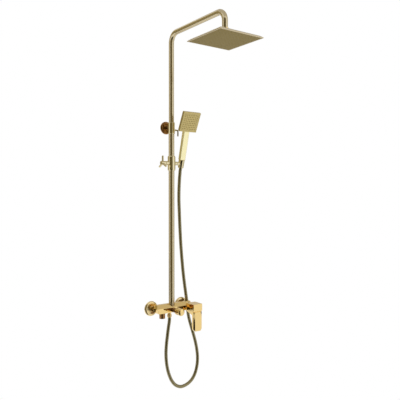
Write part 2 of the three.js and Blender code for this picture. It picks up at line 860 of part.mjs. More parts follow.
function sliderSleeve() {
  const half = sleeveLength / 2;
  const body = turned([
    [sleeveBore, -half],
    [sleeveRadius - sleeveBevel / 2, -half],
    [sleeveRadius, -half + sleeveBevel],
    [sleeveRadius, half - sleeveBevel],
    [sleeveRadius - sleeveBevel / 2, half],
    [sleeveBore, half],
    [sleeveBore, -half],
  ]);
  const inside = sleeveBore + 1;
  const clampBoss = rightward(rod(shaftRadius, -clampBossEnd, -inside, fine));
  const pivotBoss = rightward(rod(pivotShaftRadius, inside, pivotShaftEnd, fine));
  const clampHole = rightward(rod(clampScrewRadius + gap, -clampBossEnd - 1, 0));
  const pinHole = rightward(rod(pivotPinRadius + gap, 0, pivotShaftEnd + 1));
  return cut(join(body, clampBoss, pivotBoss), clampHole, pinHole);
}

function clampHandle() {
  const hub = rightward(bevelledRod(shaftRadius, -clampHubEnd, -clampHubStart, 1, fine));
  const spokes = [];
  for (let i = 0; i < spokeCount; i++) {
    const spoke = bevelledRod(spokeRadius, 0, spokeLength, 1.4);
    spoke.rotateX((2 * Math.PI * i) / spokeCount).translate(-clampHubMiddle, 0, 0);
    spokes.push(spoke);
  }
  const bore = rightward(rod(clampScrewRadius + gap, -clampHubEnd + 4, 0));
  return cut(join(hub, ...spokes), bore);
}

const pivotWasherThick = 0.8;
const holderStart = pivotShaftEnd + pivotWasherThick + 2 * face;
const pinStart = riserRadius + 1.6;
const pinEnd = holderStart + 7;
const cupMiddleRadius = (cupTopRadius + cupBottomRadius) / 2;

// The cup about its own leaning axis, with its pivot shaft towards the slider.
function handsetHolder() {
  const half = cupHeight / 2;
  const cup = turned([[0, -half], [cupBottomRadius, -half], [cupTopRadius, half], [0, half]]);
  const shaft = rightward(rod(pivotShaftRadius, holderStart - holderAcross, -cupMiddleRadius + 4, fine));
  const bore = turned([
    [0, -half - 1],
    [cupBottomRadius - cupWall - 0.04, -half - 1],
    [cupTopRadius - cupWall + 0.04, half + 1],
    [0, half + 1],
  ]);
  const slot = block(-cupSlot / 2, cupSlot / 2, 0, cupTopRadius + 2, -half - 1, half + 1);
  const pinStart = holderStart - holderAcross - 1;
  const pin = rightward(rod(pivotPinRadius + gap, pinStart, pinEnd - holderAcross + face));
  return cut(join(cup, shaft), bore, slot, pin);
}

function buildSlider() {
  const slider = frame(root, 0, -riserOut, sliderHeight);
  piece(slider, "slider_sleeve", sliderSleeve(), gold);
  const pad = rightward(rod(clampScrewRadius, -clampPadBack, -clampPadTip));
  piece(slider, "clamp_pad", pad, whitePlastic);
  const screwEnd = clampHubEnd - 4 - face;
  const screw = rightward(rod(clampScrewRadius, -screwEnd, -clampPadBack - face));
  piece(slider, "clamp_screw", screw, steel);
  piece(slider, "clamp_handle", clampHandle(), gold);
  piece(slider, "holder_pivot_pin", rightward(rod(pivotPinRadius, pinStart, pinEnd)), steel);
  const washerStart = pivotShaftEnd + face;
  const washer = pipe(pivotPinRadius + gap, pivotShaftRadius, washerStart, washerStart + pivotWasherThick);
  piece(slider, "holder_friction_washer", rightward(washer), whitePlastic);
  const cup = frame(root, holderAcross, -riserOut, sliderHeight, lean);
  piece(cup, "handset_holder", handsetHolder(), gold);
  return cup;
}

// ---- Hand shower: built about the cup's leaning axis ----

const coneTop = cupHeight / 2;
const coneFit = cupWall + gap;
const nippleStart = 3;
const gripStart = coneTop + face;
const gripEnd = gripStart + gripLength;

// The cone nut that rests in the cup and holds the hose.
function coneNut() {
  const topRadius = cupTopRadius - coneFit;
  const bottomRadius = cupBottomRadius - coneFit;
  const bore = topRadius - coneWall - 0.6;
  return turned([
    [bore, -coneTop],
    [bottomRadius, -coneTop],
    [topRadius, coneTop],
    [bore, coneTop],
    [bore, -coneTop],
  ]);
}

// A rectangle with cut corners, as [x, y] points.
function cutRectangle(width, deep, bevel) {
  const x = width / 2;
  const y = deep / 2;
  return [
    [-x + bevel, -y],
    [x - bevel, -y],
    [x, -y + bevel],
    [x, y - bevel],
    [x - bevel, y],
    [-x + bevel, y],
    [-x, y - bevel],
    [-x, -y + bevel],
  ];
}

function handsetBody() {
  const grip = prism(cutRectangle(gripWidth, gripDeep, gripBevel), gripStart, gripEnd);
  const nipple = rod(cupTopRadius - coneFit - coneWall - 0.6 - gap, nippleStart, gripStart + 2, fine);
  const half = plateSide / 2;
  const plate = prism(cutRectangle(plateSide, plateThick, plateBevel), 0, plateSide);
  const pocket = half - faceInset;
  const recessBack = -plateThick / 2 + faceThick + face;
  const recess = block(-pocket, pocket, -plateThick, recessBack, faceInset, plateSide - faceInset);
  const tilted = cut(plate, recess).rotateX(plateTilt).translate(0, -plateAhead, gripEnd - 4);
  return join(grip, nipple, tilted);
}

function buildHandset(cup) {
  piece(cup, "hose_nut_upper", coneNut(), gold);
  piece(cup, "handset_body", handsetBody(), platedPlastic);
  const half = plateSide / 2 - faceInset - gap;
  const front = -plateThick / 2;
  const middle = plateSide / 2;
  const plate = block(-half, half, front, front + faceThick, middle - half, middle + half);
  piece(cup, "handset_face", plate.rotateX(plateTilt).translate(0, -plateAhead, gripEnd - 4), facePlate);
  const washer = pipe(3, coneBore - gap, -3, nippleStart - face);
  piece(cup, "hose_washer_upper", washer, sealRubber);
}

const coneBore = cupTopRadius - coneFit - coneWall - 0.6;

// ---- Hose: the places it hangs through, chosen by hand, from the hand shower down to the mixer ----

const hoseRoute = [
  [48.8, -35.6, 568],
  [47.6, -33.6, 541],
  [46.3, -32.1, 498],
  [46.7, -30.8, 455],
  [49.2, -29.6, 412],
  [51.9, -28.4, 369],
  [54.8, -27.3, 326],
  [58.1, -26.2, 283],
  [62.1, -25.1, 240],
  [67, -24.1, 196],
  [72.4, -23, 152],
  [78.8, -22, 108],
  [86.2, -21.1, 63],
  [92, -20.5, 30],
  [96.3, -20, 4],
  [99, -20, -22],
  [102.5, -20.4, -48],
  [109, -21.1, -75],
  [117.4, -22.2, -103],
  [127, -23.3, -134],
  [137, -24.3, -169],
  [144.8, -25.4, -207],
  [147.6, -26.5, -240],
  [145.4, -27.6, -267],
  [139, -28.7, -292],
  [128, -29.8, -315],
  [110.5, -30.9, -334],
  [84.5, -32, -346.5],
  [54, -33, -349],
  [26, -34.1, -335],
  [6.5, -35.2, -312],
  [-5.5, -36.3, -288],
  [-15.4, -37.4, -259],
  [-22, -38.5, -226],
  [-24.8, -39.6, -191],
  [-23.6, -40.7, -155],
  [-20, -41.9, -121],
  [-15.4, -43.2, -84],
];

function buildHose() {
  const nutFoot = new THREE.Vector3(holderAcross, -riserOut, sliderHeight);
  const down = new THREE.Vector3(0, Math.sin(lean), -Math.cos(lean));
  const straight = [coneTop + 2 * face, coneTop + 13].map(
    (along) => nutFoot.clone().addScaledVector(down, along),
  );
  const outlet = new THREE.Vector3(hoseOutletAcross, -riserOut, hoseOutletFoot - face);
  const rise = [outlet.clone().add(new THREE.Vector3(0, 0, -13)), outlet];
  const free = hoseRoute.map(([x, y, z]) => new THREE.Vector3(x, y, z));
  const places = [...straight, ...free, ...rise];
  const path = new THREE.CatmullRomCurve3(places, false, "centripetal");
  piece(root, "shower_hose", swept(ringShape(hoseRadius, hoseSides), path, hoseSteps), hoseGold);
}

buildInlet("left", -1);
buildInlet("right", 1);
buildMixer();
buildDiverter();
buildOutlets();
buildRiser();
buildHead();
buildHandset(buildSlider());
buildHose();

export default root;
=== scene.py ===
"""Looks for a wall-mounted rainfall shower column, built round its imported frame."""

import json
import logging
import math
from collections.abc import Callable, Iterable, Sequence
from dataclasses import dataclass, field
from enum import Enum
from itertools import product
from typing import Any

import bmesh
import bpy
import numpy as np
from mathutils import Matrix, Vector


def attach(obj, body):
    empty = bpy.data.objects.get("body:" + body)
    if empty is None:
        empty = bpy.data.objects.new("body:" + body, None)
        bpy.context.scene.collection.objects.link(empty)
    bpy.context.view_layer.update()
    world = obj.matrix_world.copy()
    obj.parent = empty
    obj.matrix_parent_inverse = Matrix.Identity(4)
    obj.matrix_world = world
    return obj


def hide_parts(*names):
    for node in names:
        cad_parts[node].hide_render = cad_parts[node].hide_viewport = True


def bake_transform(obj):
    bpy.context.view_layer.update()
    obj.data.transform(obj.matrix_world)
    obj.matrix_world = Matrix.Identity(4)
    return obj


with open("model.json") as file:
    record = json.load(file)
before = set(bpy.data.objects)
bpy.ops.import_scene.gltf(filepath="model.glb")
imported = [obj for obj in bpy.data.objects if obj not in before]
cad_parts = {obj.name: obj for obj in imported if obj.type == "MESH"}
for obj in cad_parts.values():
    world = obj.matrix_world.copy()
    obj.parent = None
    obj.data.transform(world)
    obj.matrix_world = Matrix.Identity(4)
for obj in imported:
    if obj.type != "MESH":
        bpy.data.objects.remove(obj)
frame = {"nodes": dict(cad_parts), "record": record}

log = logging.getLogger("shower_column")
logging.basicConfig(level=logging.INFO, format="%(name)s: %(message)s")

MM = 0.001
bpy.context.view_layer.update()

Point = tuple[float, float, float]
Pair = tuple[float, float]

TUBE_LINE = -45.0  # where the riser's axis stands off the wall
CUP_PIVOT: Point = (49.0, TUBE_LINE, 610.0)
CUP_LEAN = 15.0
TUBE_WIDE, TUBE_BORE = 11.1, 10.2  # the upper tube's radius and bore


class Slot(Enum):
    """The record's material slots."""

    GOLD = "polished_gold"
    TUBE = "tube_gold"
    HEAD_PLATE = "head_plate"
    HANDSET = "handset_plastic"
    HANDSET_PLATE = "handset_plate"
    STEEL = "steel"
    SEAL = "seal"
    WHITE = "white_plastic"
    HOSE = "hose_jacket"


# ---------------------------------------------------------------- placing


def out_of_wall(x: float, z: float) -> Matrix:
    """Places a turned piece so that its axis points out of the wall at x, z in millimetres."""
    return Matrix.Translation((x, 0, z)) @ Matrix.Rotation(math.radians(90), 4, "X")


def to_the_right(y: float, z: float) -> Matrix:
    """Places a turned piece so that its axis points to the right at y, z in millimetres."""
    return Matrix.Translation((0, y, z)) @ Matrix.Rotation(math.radians(90), 4, "Y")


def upright(x: float, y: float, z: float = 0.0) -> Matrix:
    """Places a turned piece so that its axis points up at x, y, z in millimetres."""
    return Matrix.Translation((x, y, z))


def shown(name: str, mesh: bpy.types.Mesh) -> bpy.types.Object:
    """Puts a mesh in the scene as a named object."""
    made = bpy.data.objects.new(name, mesh)
    bpy.context.scene.collection.objects.link(made)
    return made


def arc(start: float, end: float, steps: int) -> list[float]:
    """Evenly spaced values from start to end, both included."""
    return [start + (end - start) * k / steps for k in range(steps + 1)]


def box(half: float, low: float, high: float) -> list[Pair]:
    """The four corners of a rectangle that is centred across and runs from low to high."""
    return [(-half, low), (half, low), (half, high), (-half, high)]


def leaning_cup() -> Matrix:
    """Places a piece in the frame of the leaning cup that holds the hand shower."""
    return Matrix.Translation(CUP_PIVOT) @ Matrix.Rotation(math.radians(CUP_LEAN), 4, "X")


# ---------------------------------------------------------------- shader groups


@dataclass
class Sheet:
    """A node tree being filled, with short ways to add and join nodes."""

    tree: bpy.types.NodeTree

    def add(self, kind: str, **settings: Any) -> bpy.types.Node:
        """Adds one node.

        Args:
            kind: The node's Blender type.
            settings: Properties to set on it.

        Returns:
            The new node.
        """
        node = self.tree.nodes.new(kind)
        for key, value in settings.items():
            setattr(node, key, value)
        return node

    def join(self, output: bpy.types.NodeSocket, *inputs: bpy.types.NodeSocket) -> None:
        """Links one output to each of the given inputs."""
        for socket in inputs:
            self.tree.links.new(output, socket)

    def value(self, operation: str, a: Any, b: Any = 0.0, clamp: bool = False) -> bpy.types.NodeSocket:
        """Adds a Math node.

        Args:
            operation: The Math node's operation.
            a: A number or a socket.
            b: A number or a socket.
            clamp: Whether the result is held between 0 and 1.

        Returns:
            The node's output.
        """
        node = self.add("ShaderNodeMath", operation=operation, use_clamp=clamp)
        for index, given in enumerate((a, b)):
            if isinstance(given, bpy.types.NodeSocket):
                self.join(given, node.inputs[index])
            else:
                node.inputs[index].default_value = given
        return node.outputs[0]

    def blend(self, share: bpy.types.NodeSocket, low: Any, high: Any) -> bpy.types.NodeSocket:
        """Adds a colour mix.

        Args:
            share: How much of the second colour shows.
            low: The first colour, or a socket.
            high: The second colour, or a socket.

        Returns:
            The mixed colour.
        """
        node = self.add("ShaderNodeMix", data_type="RGBA")
        self.join(share, node.inputs["Factor"])
        for name, given in (("A", low), ("B", high)):
            socket = next(s for s in node.inputs if s.name == name and s.type == "RGBA")
            if isinstance(given, bpy.types.NodeSocket):
                self.join(given, socket)
            else:
                socket.default_value = (*given, 1.0)
        return next(s for s in node.outputs if s.type == "RGBA")

    def noise(self, vector: bpy.types.NodeSocket, scale: Any, detail: float = 3.0) -> bpy.types.NodeSocket:
        """Adds a noise texture.

        Args:
            vector: Where the noise is read.
            scale: Its scale, a number or a socket.
            detail: How many finer layers it has.

        Returns:
            The noise value.
        """
        node = self.add("ShaderNodeTexNoise")
        self.join(vector, node.inputs["Vector"])
        if isinstance(scale, bpy.types.NodeSocket):
            self.join(scale, node.inputs["Scale"])
        else:
            node.inputs["Scale"].default_value = scale
        node.inputs["Detail"].default_value = detail
        return node.outputs["Fac"]


def blank_material(name: str) -> tuple[bpy.types.Material, Sheet]:
    """Makes a material with an empty node tree."""
    made = bpy.data.materials.new(name)
    made.use_nodes = True
    made.node_tree.nodes.clear()
    return made, Sheet(made.node_tree)


@dataclass
class Effect:
    """A shader node group with named inputs and outputs, built once and used by several finishes."""

    name: str
    inputs: dict[str, float]
    outputs: tuple[str, ...]
    fill: Callable[[Sheet, dict[str, Any], dict[str, Any]], None]

    def group(self) -> bpy.types.NodeTree:
        """Returns the group, building it the first time."""
        known = bpy.data.node_groups.get(self.name)
        if known is not None:
            return known
        tree = bpy.data.node_groups.new(self.name, "ShaderNodeTree")
        tree.interface.new_socket("Vector", in_out="INPUT", socket_type="NodeSocketVector")
        for key, value in self.inputs.items():
            socket = tree.interface.new_socket(key, in_out="INPUT", socket_type="NodeSocketFloat")
            socket.default_value = value
        for key in self.outputs:
            tree.interface.new_socket(key, in_out="OUTPUT", socket_type="NodeSocketFloat")
        sheet = Sheet(tree)
        entry = sheet.add("NodeGroupInput")
        leave = sheet.add("NodeGroupOutput")
        self.fill(sheet, dict(entry.outputs.items()), dict(leave.inputs.items()))
        return tree

    def place(self, sheet: Sheet, vector: bpy.types.NodeSocket, **values: float) -> bpy.types.Node:
        """Puts the group in a material.

        Args:
            sheet: The material's node tree.
            vector: Where its patterns are read.
            values: Values of its inputs, with spaces written as underscores.

        Returns:
            The group node.
        """
        node = sheet.add("ShaderNodeGroup")
        node.node_tree = self.group()
        sheet.join(vector, node.inputs["Vector"])
        for key, value in values.items():
            node.inputs[key.replace("_", " ")].default_value = value
        return node


def fill_polish(sheet: Sheet, given: dict[str, Any], wanted: dict[str, Any]) -> None:
    """Broad haze left by polishing and wiping: where it is duller, and a slow change of tint."""
    broad = sheet.noise(given["Vector"], given["Scale"], 4.0)
    streak = sheet.add("ShaderNodeMapping")
    streak.inputs["Scale"].default_value = (1.0, 1.0, 0.12)
    sheet.join(given["Vector"], streak.inputs["Vector"])
    fine_scale = sheet.value("MULTIPLY", given["Scale"], 14.0)
    fine = sheet.noise(streak.outputs["Vector"], fine_scale, 2.0)
    swing = sheet.value("SUBTRACT", broad, 0.5)
    wiped = sheet.value("MULTIPLY", sheet.value("SUBTRACT", fine, 0.5), 0.5)
    spread = sheet.value("MULTIPLY", sheet.value("ADD", swing, wiped), given["Spread"])
    sheet.join(sheet.value("ADD", given["Roughness"], spread, clamp=True), wanted["Roughness"])
    sheet.join(broad, wanted["Tint"])
    sheet.join(sheet.value("MULTIPLY", fine, given["Grain"]), wanted["Height"])


def fill_edges(sheet: Sheet, given: dict[str, Any], wanted: dict[str, Any]) -> None:
    """Convex edges painted brighter as a highlight, broken up by noise, and painted shade in the inner corners.
    """
    geometry = sheet.add("ShaderNodeNewGeometry")
    # Painted highlight: convex edges, found from the bevelled normal, are mixed towards a brighter colour.
    rounded = sheet.add("ShaderNodeBevel", samples=4)
    sheet.join(given["Reach"], rounded.inputs["Radius"])
    facing = sheet.add("ShaderNodeVectorMath", operation="DOT_PRODUCT")
    sheet.join(rounded.outputs["Normal"], facing.inputs[0])
    sheet.join(geometry.outputs["Normal"], facing.inputs[1])
    turned = sheet.value("SUBTRACT", 1.0, facing.outputs["Value"])
    breakup = sheet.noise(given["Vector"], given["Scale"], 3.0)
    share = sheet.value("MULTIPLY", sheet.value("MULTIPLY", turned, 6.0), breakup)
    sheet.join(sheet.value("MULTIPLY", share, given["Strength"], clamp=True), wanted["Painted edge highlight"])
    # Painted shade: inner corners found by ambient occlusion are darkened in colour.
    corner = sheet.add("ShaderNodeAmbientOcclusion", samples=4, only_local=True)
    corner.inputs["Distance"].default_value = 0.003
    hidden = sheet.value("SUBTRACT", 0.55, corner.outputs["AO"])
    held = sheet.value("MULTIPLY", sheet.value("MAXIMUM", hidden, 0.0), breakup)
    sheet.join(sheet.value("MULTIPLY", held, 2.0, clamp=True), wanted["Painted corner shade"])


def fill_spots(sheet: Sheet, given: dict[str, Any], wanted: dict[str, Any]) -> None:
    """Small dried-water spots, sparse and of several sizes."""
    cells = sheet.add("ShaderNodeTexVoronoi")
    sheet.join(given["Vector"], cells.inputs["Vector"])
    sheet.join(given["Scale"], cells.inputs["Scale"])
    near = sheet.value("SUBTRACT", given["Size"], cells.outputs["Distance"])
    spot = sheet.value("MULTIPLY", sheet.value("MAXIMUM", near, 0.0), 8.0, clamp=True)
    where = sheet.noise(given["Vector"], 9.0, 2.0)
    patch = sheet.value("MULTIPLY", sheet.value("SUBTRACT", where, 0.52), 5.0, clamp=True)
    sheet.join(sheet.value("MULTIPLY", spot, patch), wanted["Mask"])


POLISH = Effect(
    "polish haze",
    {"Scale": 14.0, "Roughness": 0.15, "Spread": 0.06, "Grain": 0.3},
    ("Roughness", "Tint", "Height"),
    fill_polish,
)
EDGES = Effect(
    "painted edge highlight and corner shade",
    {"Scale": 60.0, "Reach": 0.0006, "Strength": 1.0},
    ("Painted edge highlight", "Painted corner shade"),
    fill_edges,
)
SPOTS = Effect("water spots", {"Scale": 260.0, "Size": 0.14}, ("Mask",), fill_spots)


# ---------------------------------------------------------------- finishes


PAPER_TINT: Point = (1.0, 0.96, 0.9)
WARM_TINT: Point = (1.0, 0.85, 0.46)


@dataclass(frozen=True)
class Finish:
    """A surface finish that turns into one material.

    Attributes:
        slot: The record's slot it stands for.
        name: Its material's name where that isn't its slot's.
        colour: Its main colour, linear.
        deep: The colour it shifts to in slow patches, and the colour of the painted shade in inner corners.
        edge_highlight: The colour of the painted highlight on its convex edges.
        metallic: 0 or 1, or between for plated plastic.
        roughness: Its middle roughness.
        spread: How far roughness swings.
        grain: Height of its fine polishing lines.
        bump: Strength of the bump.
        spots: Share of dulling where water dried.
        scale: Scale of its broad patches, per metre.
    """

    slot: Slot
    colour: Point
    deep: Point
    edge_highlight: Point
    metallic: float = 1.0
    roughness: float = 0.12
    spread: float = 0.02
    grain: float = 0.3
    bump: float = 0.004
    spots: float = 0.05
    scale: float = 14.0
    name: str = ""

    def material(self) -> bpy.types.Material:
        """Returns the finish's material, building it the first time."""
        name = f"{self.name or self.slot.value} finish"
        known = bpy.data.materials.get(name)
        if known is not None:
            return known
        made, sheet = blank_material(name)
        self.fill(sheet)
        return made

    def fill(self, sheet: Sheet) -> None:
        """Wires colour, roughness and fine relief."""
        shader = sheet.add("ShaderNodeBsdfPrincipled")
        result = sheet.add("ShaderNodeOutputMaterial")
        sheet.join(shader.outputs["BSDF"], result.inputs["Surface"])
        shader.inputs["Metallic"].default_value = self.metallic
        place = sheet.add("ShaderNodeTexCoord").outputs["Object"]
        haze = POLISH.place(
            sheet, place, Scale=self.scale, Roughness=self.roughness, Spread=self.spread, Grain=self.grain
        )
        edges = EDGES.place(sheet, place, Scale=60.0, Reach=0.0006, Strength=1.0)
        drops = SPOTS.place(sheet, place, Scale=260.0, Size=0.14)
        patchy = sheet.blend(sheet.value("MULTIPLY", haze.outputs["Tint"], 0.5), self.colour, self.deep)
        # Painted shade: the deep colour is mixed into inner corners.
        corner_shaded = sheet.blend(edges.outputs["Painted corner shade"], patchy, self.deep)
        # Painted highlight: the brighter edge colour is mixed onto convex edges.
        sheet.join(sheet.blend(edges.outputs["Painted edge highlight"], corner_shaded, self.edge_highlight), shader.inputs["Base Color"])
        dulled = sheet.value("MULTIPLY", drops.outputs["Mask"], self.spots)
        rough = sheet.value("ADD", haze.outputs["Roughness"], dulled, clamp=True)
        sheet.join(rough, shader.inputs["Roughness"])
        bump = sheet.add("ShaderNodeBump")
        bump.inputs["Strength"].default_value = self.bump
        bump.inputs["Distance"].default_value = 0.0004
        sheet.join(haze.outputs["Height"], bump.inputs["Height"])
        sheet.join(bump.outputs["Normal"], shader.inputs["Normal"])


@dataclass(frozen=True)
class SatinPlate(Finish):
    """A nozzle plate with a fine satin sand-blast under its plating."""

    pebble: float = 2600.0

    def fill(self, sheet: Sheet) -> None:
        """Adds the blasted texture to the plain finish's wiring."""
        super().fill(sheet)
        bump = next(n for n in sheet.tree.nodes if n.type == "BUMP")
        place = sheet.add("ShaderNodeTexCoord").outputs["Object"]
        blast = sheet.noise(place, self.pebble, 1.0)
        old = bump.inputs["Height"].links[0].from_socket
        sheet.join(sheet.value("ADD", blast, old), bump.inputs["Height"])


@dataclass(frozen=True)
class WoundJacket(Finish):
    """The wound metal hose jacket, with painted shade between its turns."""

    def fill(self, sheet: Sheet) -> None:
        """Paints shade into the grooves between the turns, by the ring height kept on the mesh."""
        super().fill(sheet)
        shader = next(n for n in sheet.tree.nodes if n.type == "BSDF_PRINCIPLED")
        height = sheet.add("ShaderNodeAttribute", attribute_name="ridge")
        old = shader.inputs["Base Color"].links[0].from_socket
        # Painted shade: the grooves between the turns are darkened in colour.
        groove = sheet.value("SUBTRACT", 1.0, height.outputs["Fac"], clamp=True)
        sheet.join(sheet.blend(groove, old, (0.05, 0.04, 0.02)), shader.inputs["Base Color"])


GOLD = Finish(Slot.GOLD, (0.93, 0.69, 0.30), (0.85, 0.61, 0.24), (0.97, 0.82, 0.50), roughness=0.06)
PALE_GOLD = Finish(
    Slot.GOLD, (0.78, 0.68, 0.42), (0.70, 0.60, 0.35), (0.92, 0.83, 0.58), roughness=0.10, name="pale_gold"
)
# A much darker, browner gold for the cartridge dome, diverter sleeve, spout housing and bracket cover.
DARK_GOLD = Finish(
    Slot.GOLD, (0.36, 0.19, 0.07), (0.24, 0.11, 0.035), (0.62, 0.42, 0.20), roughness=0.10, name="dark_gold"
)
TUBE = Finish(Slot.TUBE, (0.68, 0.58, 0.38), (0.62, 0.52, 0.32), (0.90, 0.80, 0.58), roughness=0.19)
COVER_GOLD = Finish(
    Slot.GOLD, (0.90, 0.72, 0.38), (0.80, 0.62, 0.30), (0.96, 0.82, 0.52), roughness=0.24, name="cover_gold"
)
# A dull olive gold for the height lock lever.
OLIVE = Finish(
    Slot.GOLD, (0.34, 0.29, 0.16), (0.24, 0.20, 0.10), (0.60, 0.52, 0.32), roughness=0.14, name="olive_gold"
)
HEAD_PLATE = SatinPlate(
    Slot.HEAD_PLATE, (0.27, 0.195, 0.026), (0.22, 0.155, 0.018), (0.64, 0.48, 0.16),
    roughness=0.36, spread=0.05, bump=0.03,
)
HANDSET = Finish(
    Slot.HANDSET, (1.0, 0.93, 0.56), (1.0, 0.88, 0.50), (1.0, 0.95, 0.70), metallic=0.96, roughness=0.08,
)
HANDSET_PLATE = SatinPlate(
    Slot.HANDSET_PLATE, (0.58, 0.47, 0.20), (0.52, 0.41, 0.16), (0.82, 0.72, 0.46),
    metallic=0.95, roughness=0.28, spread=0.05, bump=0.03,
)
STEEL = Finish(Slot.STEEL, (0.46, 0.46, 0.45), (0.36, 0.36, 0.35), (0.62, 0.62, 0.60), roughness=0.32)
SEAL = Finish(
    Slot.SEAL, (0.022, 0.021, 0.019), (0.035, 0.033, 0.03), (0.06, 0.057, 0.052),
    metallic=0.0, roughness=0.78, bump=0.2,
)
WHITE = Finish(
    Slot.WHITE, (0.74, 0.72, 0.66), (0.66, 0.63, 0.56), (0.82, 0.80, 0.75),
    metallic=0.0, roughness=0.48, bump=0.08,
)
HOSE = WoundJacket(
    Slot.HOSE, (0.36, 0.31, 0.165), (0.29, 0.245, 0.12), (0.52, 0.45, 0.27), roughness=0.22, spread=0.05
)
HANDSET_TIPS = SatinPlate(
    Slot.HANDSET_PLATE, (0.27, 0.195, 0.07), (0.22, 0.155, 0.05), (0.40, 0.32, 0.16),
    metallic=0.9, roughness=0.35, spread=0.05, bump=0.03, name="handset_nozzle_tips",
)
FINISHES = {f.slot: f for f in (GOLD, TUBE, HEAD_PLATE, HANDSET, HANDSET_PLATE, STEEL, SEAL, WHITE, HOSE)}


# ---------------------------------------------------------------- making meshes


def softened(outline: Sequence[Pair], radius: float, closed: bool) -> list[Pair]:
    """Rounds the corners of an outline.

    Args:
        outline: The outline's points.
        radius: How far from each corner the rounding starts, in millimetres.
        closed: Whether the last point joins the first.

    Returns:
        The outline with each corner replaced by a short curve.
    """
    points = [Vector(p) for p in outline]
    made: list[Pair] = []
    count = len(points)
    for i, here in enumerate(points):
        if not closed and i in (0, count - 1):
            made.append((here.x, here.y))
            continue
        before, after = points[i - 1], points[(i + 1) % count]
        back, ahead = before - here, after - here
        straight = back.length < 1e-6 or ahead.length < 1e-6
        if straight or abs(back.normalized().dot(ahead.normalized()) + 1) < 0.02:
            made.append((here.x, here.y))
            continue
        reach = min(radius, 0.45 * back.length, 0.45 * ahead.length)
        start, end = here + back.normalized() * reach, here + ahead.normalized() * reach
        for t in (0.0, 0.33, 0.67, 1.0):
            spot = start * (1 - t) ** 2 + here * 2 * t * (1 - t) + end * t**2
            made.append((spot.x, spot.y))
    return made


